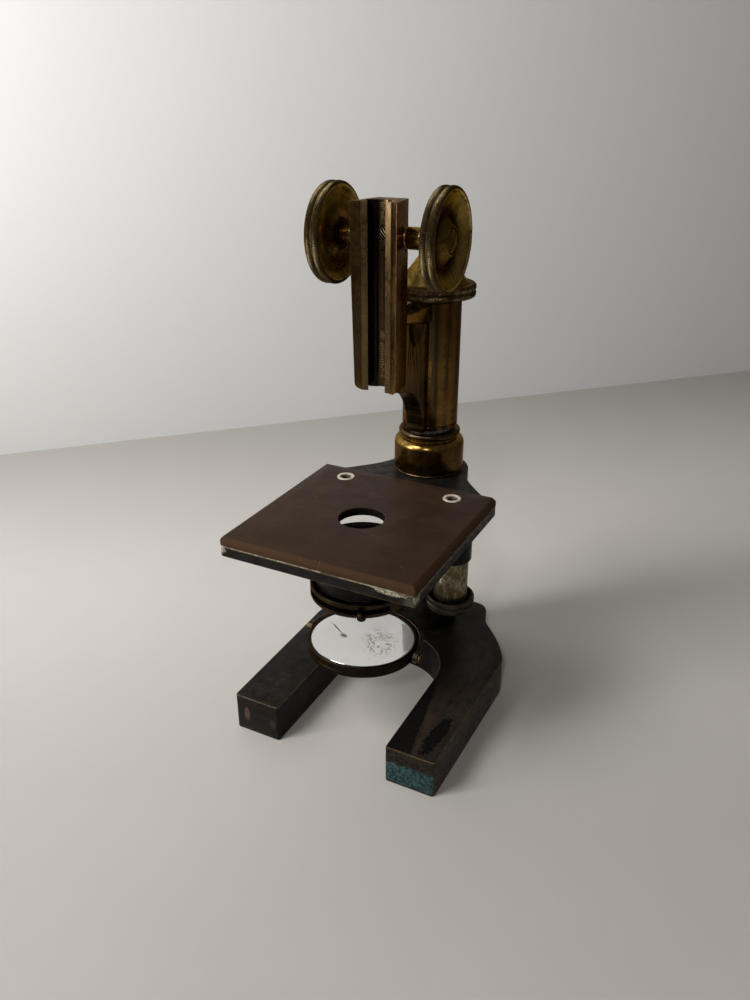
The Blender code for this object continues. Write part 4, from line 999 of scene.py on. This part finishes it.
def make_barrel():
    """The barrel and its neck, which spreads into a lug with a scoop on each side at the top."""
    low, high = span("barrel")
    radius, back, wall = BARREL_RADIUS, low.y, NECK_WALL
    profile = [(9.7, high.z), (radius, high.z, 0.35), (radius, low.z + 2.4),
               (radius - 0.2, low.z + 2.2, 0.1), (radius - 0.2, low.z + 1.8, 0.1), (radius, low.z + 1.6),
               (radius, low.z, 0.3), (12.4, low.z), (12.4, low.z + 8.2), (9.7, low.z + 8.2)]
    barrel = turned("barrel_detail", profile, BARREL_BRASS, sides=192, fillet=0.2)
    cove = arc((back + 1.4, 130), 22.8, 90, 10, 26, 26)
    pad = [(-17.6, 134.4), (-17.6, 130), (wall, 130)]
    web = [(wall, high.z), (back, high.z)] + cove + pad
    neck = upright(slab("neck", rounded(web, 0.5), -4.1, 4.1, BARREL_BRASS, edge=0.45))
    lug_foot = high.z - 7.7
    rise = LUG_SLOPE * (wall - back)
    lug_outline = rounded([(wall, high.z), (back, high.z), (back, lug_foot + rise), (wall, lug_foot)], 0.4)
    lug = upright(slab("lug", lug_outline, -5.4, 5.4, BARREL_BRASS, edge=0.3))
    cut(neck, lug, "UNION")
    for side in (-1, 1):
        bowl = turned("bowl", [(0, 0)] + [(math.cos(math.radians(t)),
                math.sin(math.radians(t))) for t in range(0, -90, -6)] + [(0, -1)], None, sides=64,
                closed=False, fillet=0)
        bowl.data.transform(Matrix.Translation(Vector((side * 5.5, -25.2, lug_foot + 1.6)) * MM)
                            @ Matrix.Rotation(-math.atan(LUG_SLOPE), 4,
                "X") @ Matrix.Diagonal((3.3, 10.4, 11, 1)))
        cut(neck, smooth(bowl))
    cut(barrel, neck, "UNION")
    stand_for(barrel, "barrel")


def jaw_plan():
    """Plan of the dovetail block with its channel, open to the front."""
    low, high = span("coarse_block")
    front, back = low.y, high.y
    half = [(6.7, back, 0.5), (10.3, front, 0.45), (6.7, front + 2.5, 0.35), (3.7, front + 3.1, 0.35),
            (6.9, front + 8.4, 0.3), (3.6, front + 9, 0.3)]
    half += arc((0, front + 8.9), 3, 20, 90, 8, 1.6)[:-1]
    return rounded(mirrored(half), 0.12, steps=4)


def make_block():
    """Dovetail block: channel, rounded jaw ends, the pinion's pocket and the bushes' seats."""
    low, high = span("coarse_block")
    block = slab("block_detail", jaw_plan(), low.z, high.z, BLOCK_BRASS, edge=0.22)
    corner, side, taper = 3.4, high.x + 0.1, 1.3
    right_end = arc((side - corner, low.z + corner - 0.001), corner, -90, 0, 14)
    left_end = arc((corner - side + taper, low.z + corner - 0.001), corner, 180, 270, 14)
    keep_outline = right_end + [(side, high.z + 2), (-side, high.z + 2)] + left_end
    keep = slab("keep", keep_outline, -75, -30, None, edge=0)
    cut(block, smooth(facing(keep)), "INTERSECT")
    bore(block, 6.4, PINION, -1.5, 1.5, aim="X")
    for side in (-1, 1):
        bore(block, 5.12, PINION, *sorted((side * 3.3, side * 14)), aim="X")
    stand_for(block, "coarse_block")


def make_pinion_cap():
    low, high = span("pinion_cap")
    half = (high.x - low.x) / 2
    outline = rounded([(half, low.z, 2.2), (half, high.z, 2.2), (-half, high.z, 2.2), (-half, low.z, 2.2)],
                      0, steps=6)
    cap = slab("pinion_cap_detail", outline, low.y, high.y, CAP_BRASS, edge=0.8, lower_edge=0.1)
    smooth(facing(cap))
    bore(cap, 6.6, PINION, -6, 6, aim="X")
    stand_for(cap, "pinion_cap")
    for label, turn in (("upper", 25), ("lower", -40)):
        slotted_screw("pinion_cap_screw_%s_detail" % label, DARK_STEEL, "pinion_cap_screw_" + label, "Y",
                      2.2, 0.35, turn, 0.5, 0.6)
    for side, aim in (("left", "-X"), ("right", "X")):
        node = "pinion_bush_" + side
        inner_end, outer_end = 3.4, 6.7
        profile = [(2.3, outer_end - 0.3), (2.6, outer_end), (5, outer_end), (5, inner_end),
                   (2.3, inner_end)]
        stand_for(turned(node + "_detail", profile, SLEEVE_BRASS, PINION, aim, 72), node)


# ---- coarse drive ---------------------------------------------------------------------------
def make_pinion():
    """Helical pinion whose teeth show through the slot in the channel."""
    low, high = span("pinion")
    radius, depth, teeth, twist = (high.z - low.z) / 2, 0.9, 28, 0.17
    half = 1.3
    rings = []
    for x in [half * (i / 6 - 1) for i in range(13)]:
        ring = []
        for i in range(teeth):
            for share, r in ((0, radius - depth), (0.18, radius - depth), (0.32, radius - 0.15),
                             (0.4, radius), (0.58, radius), (0.66, radius - 0.15), (0.8, radius - depth)):
                angle = math.tau * (i + share) / teeth + twist * x
                ring.append((x, PINION.y + r * math.cos(angle), PINION.z + r * math.sin(angle)))
        rings.append(ring)
    pinion = loft("pinion_detail", rings, PINION_STEEL)
    bore(pinion, 2.3, PINION, -half - 1, half + 1, aim="X", sides=48)
    stand_for(pinion, "pinion")


KNOB_NEAR, KNOB_FAR = 21.7, 27.7   # a knob's inner and outer side, from the middle of the pinion


def knob_profile(near, far, rim):
    """Half section of a coarse knob: dished outer face, two milled beads, trumpet inner face."""
    centre = (near + far) / 2
    bead = (far - near) / 4
    outer = [(4.9, far - 1.9), (4.9, far - 0.35, 0.1), (5.5, far - 0.35, 0.1), (7, far - 1.9, 1),
             (9.6, far - 3.7, 0.9), (11.4, far - 3.9, 1.2), (14.6, far - 2.5, 1), (17.6, far - 1.2, 0.5),
             (18.35, far - 0.25, 0.2), (18.6, far, 0.15), (rim - 0.75, far, 0.2)]
    upper = [(rim - bead * (1 - math.cos(a)) * 0.55, far - bead + bead * 0.92 * math.sin(a))
             for a in (math.radians(t) for t in range(60, -76, -15))]
    lower = [(r, 2 * centre - z) for r, z in reversed(upper)]
    inner = [(rim - 0.75, near, 0.2), (18.6, near, 0.2), (17.6, near + 0.5, 0.4), (15.6, near + 1.6, 0.8),
             (13, near + 1.5, 0.8), (10, near + 0.9, 0.8), (7.6, near + 0.1, 0.6), (5.8, near - 0.9, 0.3),
             (2.3, near - 0.9)]
    return [(2.3, far - 1.9)] + outer + upper + lower + inner


def make_knobs():
    for side, aim, turn in (("left", "-X", 45), ("right", "X", 48)):
        node = "coarse_knob_" + side
        rim = (span(node)[1].z - span(node)[0].z) / 2
        knob = turned(node + "_detail", knob_profile(KNOB_NEAR, KNOB_FAR, rim), KNOB_BRASS, PINION, aim,
                      fillet=0.08, milling=milled(rim, 0.8, 0.35, 0.27), teeth=200)
        stand_for(knob, node)
        sleeve = "knob_sleeve_" + side
        profile = [(2.3, 20.5), (4.35, 20.5, 0.2), (4.35, 9.3, 0.2), (4.15, 9.1, 0.1), (4.15, 8.7, 0.1),
                   (4.35, 8.5, 0.15), (4.35, 8, 0.2), (3.95, 7.6), (2.3, 7.6)]
        stand_for(turned(sleeve + "_detail", profile, SLEEVE_BRASS, PINION, aim, 96, fillet=0.1), sleeve)
        slotted_screw("knob_screw_%s_detail" % side, KNOB_BRASS, "knob_screw_" + side, aim, 4.6, 0.45, turn,
                      0.75, 0.8)


# ---- fine focus -----------------------------------------------------------------------------
def make_head():
    """Fine focus head: two milled rings under a flat, then a cone up to the cap screw."""
    low, high = span("fine_focus_head")
    base, top, rim = low.z, high.z, (high.x - low.x) / 2
    bead = 1.35
    upper = [(rim - bead * (1 - math.cos(a)) * 0.5, base + 4.3 + bead * 0.95 * math.sin(a))
             for a in (math.radians(t) for t in range(75, -76, -15))]
    lower = [(r, z - 2.85) for r, z in upper]
    cone_low, slope = base + 6.5, (top - 1 - base - 6.5) / (15.7 - 4.6)
    outside = [(1.6, top), (3.4, top, 0.15), (4.6, top - 1, 0.3), (10, cone_low + slope * 5.7 - 0.25, 3),
               (15.7, cone_low, 0.5), (16.3, base + 5.9, 0.2), (18.3, base + 5.9, 0.3)]
    inside = [(15.2, base), (15.2, base + 2.6), (2.8, base + 2.6), (2.8, top - 6), (1.6, top - 6)]

    centre = middle("fine_focus_head")
    head = turned("fine_focus_head_detail", outside + upper + lower + [(rim - 1.4, base, 0.1)] + inside,
                  HEAD_BRASS, (centre.x, centre.y, 0), fillet=0.1, milling=milled(rim, 0.85, 0.35, 0.27),
                  teeth=190)
    stand_for(head, "fine_focus_head")
    slotted_screw("head_cap_screw_detail", HEAD_BRASS, "head_cap_screw", "Z", 3, 0.35, 20, 0.6, 0.7)


# ---- substage -------------------------------------------------------------------------------
def make_substage():
    here = (POST.x, POST.y, 0)
    post = span("substage_post")
    top = post[1].z
    profile = [(0, top), (7.4, top, 0.3), (7.4, top - 2.6, 0.4), (3, top - 3, 0.6), (3, post[0].z + 0.5),
               (2.6, post[0].z), (0, post[0].z)]
    stand_for(turned("substage_post_detail", profile, DARK_STEEL, here, sides=96, closed=False),
              "substage_post")

    low, high = span("substage_tube")
    outer = (high.x - low.x) / 2
    profile = [(3.3, high.z), (outer, high.z, 0.3), (outer, low.z), (3.3, low.z)]
    stand_for(turned("substage_tube_detail", profile, NICKEL, here, sides=144), "substage_tube")

    low, high = span("substage_nut")
    rim, bottom, top = (high.x - low.x) / 2, low.z, high.z
    centre = (bottom + top) / 2

    profile = [(8.5, 46.3), (8.5, top - 1.6, 0.2), (10.4, top - 0.2, 0.5), (rim - 0.5, top, 0.3),
               (rim, top - 0.7, 0.4), (rim, centre + 0.55, 0.25), (rim - 0.7, centre, 0.1),
               (rim, centre - 0.55, 0.25), (rim, bottom + 0.7, 0.4), (rim - 0.5, bottom, 0.3),
               (3.3, bottom), (3.3, 46.3)]
    stand_for(turned("substage_nut_detail", profile, NUT_BRONZE, here, fillet=0.15,
                     milling=milled(rim, 0.5, 0.3, 0.16), teeth=130), "substage_nut")
    make_arm()
    make_iris()


def make_arm():
    """Swinging arm: the hub on the post, a bar, and the ring that holds the iris."""
    hub_low, sleeve_top = span("substage_arm")[0].z, span("substage_arm")[1].z
    top = HUB_TOP
    holder_low = span("iris_case")[1].z + GAP
    axis = Vector((OPTICAL_AXIS.x, OPTICAL_AXIS.y))
    pivot = Vector((POST.x, POST.y))
    heading = (axis - pivot).normalized()
    across = Vector((-heading.y, heading.x))
    hub = turned("substage_arm_detail", [(3.3, top), (9.5, top, 0.5), (9.5, hub_low, 0.5), (3.3, hub_low)],
                 FORK_LACQUER, (pivot.x, pivot.y, 0), sides=96)
    start, end = pivot + heading * 6, axis - heading * 19.4
    corners = [start + across * 5, start - across * 5, end - across * 4, end + across * 4]
    bar = slab("bar", rounded([tuple(c) for c in corners], 0.3), holder_low + 0.05, top - 1, FORK_LACQUER,
               edge=0.5)
    ring = turned("ring", [(18.4, sleeve_top, 0.2), (20.8, sleeve_top, 0.4), (20.8, holder_low, 0.3),
                           (18.4, holder_low, 0.2)], FORK_LACQUER, (axis.x, axis.y, 0), sides=144)
    cut(hub, bar, "UNION")
    cut(hub, ring, "UNION")
    stand_for(hub, "substage_arm")


def make_iris():
    """Iris under the stage: a case with a slot for the lever, ten overlapping leaves, the lever."""
    here = (OPTICAL_AXIS.x, OPTICAL_AXIS.y, 0)
    low, high = span("iris_case")
    rim, bottom, top = (high.x - low.x) / 2, low.z, high.z
    profile = [(21.2, top), (rim - 0.5, top, 0.3), (rim, top - 0.5, 0.3), (rim, bottom + 0.5, 0.3),
               (rim - 0.5, bottom, 0.3), (12.5, bottom, 0.2), (12.5, bottom + 1.2, 0.2),
               (21.2, bottom + 1.2)]
    case = turned("iris_case_detail", profile, CASE_BRONZE, here, sides=192)
    slot_outline = arc((0, 0), 25, -148, -32, 48) + arc((0, 0), 20.5, -32, -148, 48)
    slot = slab("slot", [(x + here[0], y + here[1]) for x, y in slot_outline], bottom + 1.9, bottom + 4.5,
                None, edge=0)
    stand_for(cut(case, slot), "iris_case")

    low, high = span("iris_leaves")
    count, reach, inner = 10, 20.6, 5
    verts, faces = [], []
    for k in range(count):
        turn = math.tau * k / count
        base = low.z + 0.06 + 0.5 * (high.z - low.z) * (k % 2)
        outline = arc((0, 0), reach, 0, 95, 14) + arc((inner * 0.9, 2), inner + 3.4, 150, 60, 8)
        start = len(verts)
        for z in (base, base + 0.22):
            for x, y in outline:
                verts.append((here[0] + x * math.cos(turn) - y * math.sin(turn),
                              here[1] + x * math.sin(turn) + y * math.cos(turn), z))
        n = len(outline)
        faces.append([start + i for i in reversed(range(n))])
        faces.append([start + n + i for i in range(n)])
        faces += [(start + i, start + (i + 1) % n, start + n + (i + 1) % n,
                   start + n + i) for i in range(n)]
    leaves = new_object("iris_leaves_detail", verts, faces, STEEL)
    leaves.data.shade_smooth()
    leaves.data.set_sharp_from_angle(angle=math.radians(30))
    stand_for(leaves, "iris_leaves")

    height = middle("iris_lever").z
    ball = 26.2
    profile = [(0, 28.4)] + [(2.25 * math.sin(math.radians(t)),
                              ball + 2.2 * math.cos(math.radians(t))) for t in range(12, 156, 12)]
    profile += [(0.9, 23.9), (0.9, 20.7), (0, 20.7)]
    aim = Matrix.Rotation(math.radians(27), 4, "Z") @ Matrix.Rotation(math.pi / 2, 4, "X")
    stand_for(turned("iris_lever_detail", profile, CASE_BRONZE, (here[0], here[1], height), aim, 48,
                     closed=False, fillet=0.1), "iris_lever")


# ---- mirror ---------------------------------------------------------------------------------
def make_mirror():
    lean = Matrix.Rotation(math.radians(-MIRROR_LEAN), 4, "X")
    here = tuple(TILT_AXIS)
    rim, seat = 25.4, 24.2
    profile = [(seat, 2.8, 0.15), (rim - 0.4, 2.8, 0.3), (rim, 2.3, 0.3), (rim, 0.9, 0.1),
               (rim - 0.2, 0.6, 0.1), (rim - 0.2, -0.6, 0.1), (rim, -0.9, 0.1), (rim, -2.3, 0.3),
               (rim - 0.4, -2.8, 0.3), (seat, -2.8, 0.15), (seat, -1.6), (21, -1.6), (21, 1.6), (seat, 1.6)]
    stand_for(turned("mirror_ring_detail", profile, RING_BRONZE, here, lean, 192, fillet=0.1),
              "mirror_ring")
    glass = seat - GAP
    dish = [(glass * k / 24, 1.1 + 1.4 * (k / 24) ** 2) for k in range(1, 24)]
    hollow = [(0, 1.1)] + dish + [(glass - 0.25, 2.5), (glass, 2.2), (glass, 1.9), (20.5, 1.9), (20, 0.4),
            (0, 0.4)]
    stand_for(turned("concave_mirror_detail", hollow, GLASS, here, lean, 144, closed=False, fillet=0.02),
              "concave_mirror")
    plane = [(0, -1.9), (glass, -1.9), (glass, -2.2, 0.1), (glass - 0.3, -2.5, 0.05), (0, -2.5)]
    stand_for(turned("plane_mirror_detail", plane, GLASS, here, lean, 144, closed=False, fillet=0.05),
              "plane_mirror")


def make_fork():
    """Half-ring fork with a stem into the pillar and a boss for each pivot screw."""
    radius, wall, half = 28, 1.8, 1.8
    centre = TILT_AXIS
    outline = arc((centre.x, centre.y), radius, 0, 180, 72) + arc((centre.x, centre.y), radius - wall, 180,
            0, 72)
    fork = slab("mirror_fork_detail", outline, centre.z - half, centre.z + half, FORK_LACQUER, edge=0.5)
    root = centre.y + radius - 1.2
    length = -8 - root
    stem = turned("stem", [(0, length), (3, length), (3, 8.3, 0.3), (4.6, 7.8, 0.5), (4.6, 0.6, 0.5),
                           (3.8, 0), (0, 0)], FORK_LACQUER, (0, root, centre.z), "Y", 72, closed=False)
    cut(fork, stem, "UNION")
    for aim in ("X", "-X"):
        lug = turned("lug", [(0, radius + 0.4), (2.6, radius + 0.4, 0.3), (2.6, radius - wall, 0.1),
                             (0, radius - wall)], FORK_LACQUER, centre, aim, 48, closed=False)
        cut(fork, lug, "UNION")
    stand_for(fork, "mirror_fork")
    for side, aim in (("left", "-X"), ("right", "X")):
        slotted_screw("mirror_pivot_%s_detail" % side, SCREW_BRASS, "mirror_pivot_" + side, aim, 2, 0.35,
                      15, 0.45, 0.5)


def dress(material, *nodes):
    """Give a shown CAD node a finish."""
    for node in nodes:
        frame["nodes"][node].data.materials[0] = material


make_foot()
make_pillar()
make_stage()
make_bushings()
make_collar()
make_barrel()
make_block()
make_pinion_cap()
make_pinion()
make_knobs()
make_head()
make_substage()
make_fork()
make_mirror()
dress(STEEL, "prism_bar", "prism_end_plate", "fine_focus_spring", "micrometer_screw", "pinion_shaft")
dress(DARK_STEEL, "barrel_cap", "foot_screw_left", "foot_screw_right", *SCREW_NODES)
dress(CASE_BRONZE, "iris_drum")


# ---- room, light and camera -----------------------------------------------------------------
def plain_surface(name, light, dark, size, dim=None):
    """Matt paint; dim is (point, direction, reach): within reach of a line the colour is painted darker, as
    shade.
    """
    f = Finish(name)
    f.shader.inputs["Specular IOR Level"].default_value = 0.2
    f.base = f.mix(f.cloud(0.3, 0.7, size, 4, 0.6), light, dark)
    if dim:
        point, direction, reach = dim
        offset = f.add("ShaderNodeVectorMath", {0: f.place, 1: point},
                       operation="SUBTRACT").outputs["Vector"]
        away = f.add("ShaderNodeVectorMath", {0: offset, 1: direction},
                     operation="DOT_PRODUCT").outputs["Value"]
        # Painted shade: darker within reach of the line.
        f.paint(f.band(away, reach, 0, 0, 0.75), tuple(c * 0.6 for c in dark))
    f.bump((f.noise(6, 3, 0.5, shift=3), 0.05))
    return f.finish(f.band(f.noise(size * 0.4), 0.3, 0.7, 0.7, 0.85))


def make_room():
    """A pale table that runs back to a vertical pale wall."""
    left, right = Vector((-0.431, 0.086, 0)), Vector((-0.006, 0.517, 0))
    along = (right - left).normalized()
    toward = Vector((along.y, -along.x, 0))
    a, b = left - along * 3, right + along * 3
    near = toward * 5
    # The table is painted darker toward the foot of the wall, a painted shade.
    floor = new_object("table_top", [v / MM for v in (a, a + near, b + near, b)], [(0, 1, 2, 3)],
                       plain_surface("table_paint", (0.62, 0.595, 0.56), (0.59, 0.565, 0.53), 240,
            (tuple(left / MM), tuple(toward), 290)))
    up = Vector((0, 0, 2.6))
    wall = new_object("back_wall", [v / MM for v in (a, b, b + up, a + up)], [(0, 1, 2, 3)],
                      plain_surface("wall_paint", (0.66, 0.655, 0.645), (0.64, 0.635, 0.625), 420))


def soft_light(name, place, target, size, power, size_y=None, colour=(1, 1, 1)):
    data = bpy.data.lights.new(name, "AREA")
    data.shape = "RECTANGLE"
    data.size, data.size_y = size, size_y or size
    data.energy = power
    data.color = colour
    light = bpy.data.objects.new(name, data)
    bpy.context.scene.collection.objects.link(light)
    light.location = place
    light.rotation_euler = (Vector(target) - Vector(place)).to_track_quat("-Z", "Y").to_euler()
    light.visible_camera = False
    return light


def make_lights():
    """A window high on the left, a wash on the wall behind, and a small lamp that glints on the brass."""
    soft_light("window", (-0.4, -0.6, 0.8), (0, -0.07, 0.05), 0.4, 5.6, 0.4, (1, 0.985, 0.96))
    wash = soft_light("wall_wash", (-0.62, -0.62, 0.42), (-0.34, 0.17, 0.34), 0.25, 2.2)
    wash.data.spread = math.radians(80)
    soft_light("lamp", (0.36, -1.45, 1.2), (0, 0, 0.12), 0.12, 4.5)
    world = bpy.data.worlds.new("room")
    world.use_nodes = True
    world.node_tree.nodes["Background"].inputs["Color"].default_value = (1, 0.94, 0.86, 1)
    world.node_tree.nodes["Background"].inputs["Strength"].default_value = 0.1
    bpy.context.scene.world = world


def make_camera():
    azimuth, elevation, roll = math.radians(27.16), math.radians(25.449), math.radians(-0.097)
    back = Vector((math.sin(azimuth) * math.cos(elevation), -math.cos(azimuth) * math.cos(elevation),
                   math.sin(elevation)))
    level = Vector((0, 0, 1)).cross(back).normalized()
    upward = back.cross(level)
    right = math.cos(roll) * level + math.sin(roll) * upward
    above = -math.sin(roll) * level + math.cos(roll) * upward
    data = bpy.data.cameras.new("camera")
    data.sensor_fit = "VERTICAL"
    data.sensor_height = 36
    data.lens = 30.38
    data.clip_start = 0.01
    camera = bpy.data.objects.new("camera", data)
    bpy.context.scene.collection.objects.link(camera)
    camera.matrix_world = (Matrix.Translation((0.15341, -0.3576, 0.27189))
                           @ Matrix((right, above, back)).transposed().to_4x4())
    bpy.context.scene.camera = camera


make_room()
make_lights()
make_camera()
bpy.context.scene.view_settings.view_transform = "Standard"
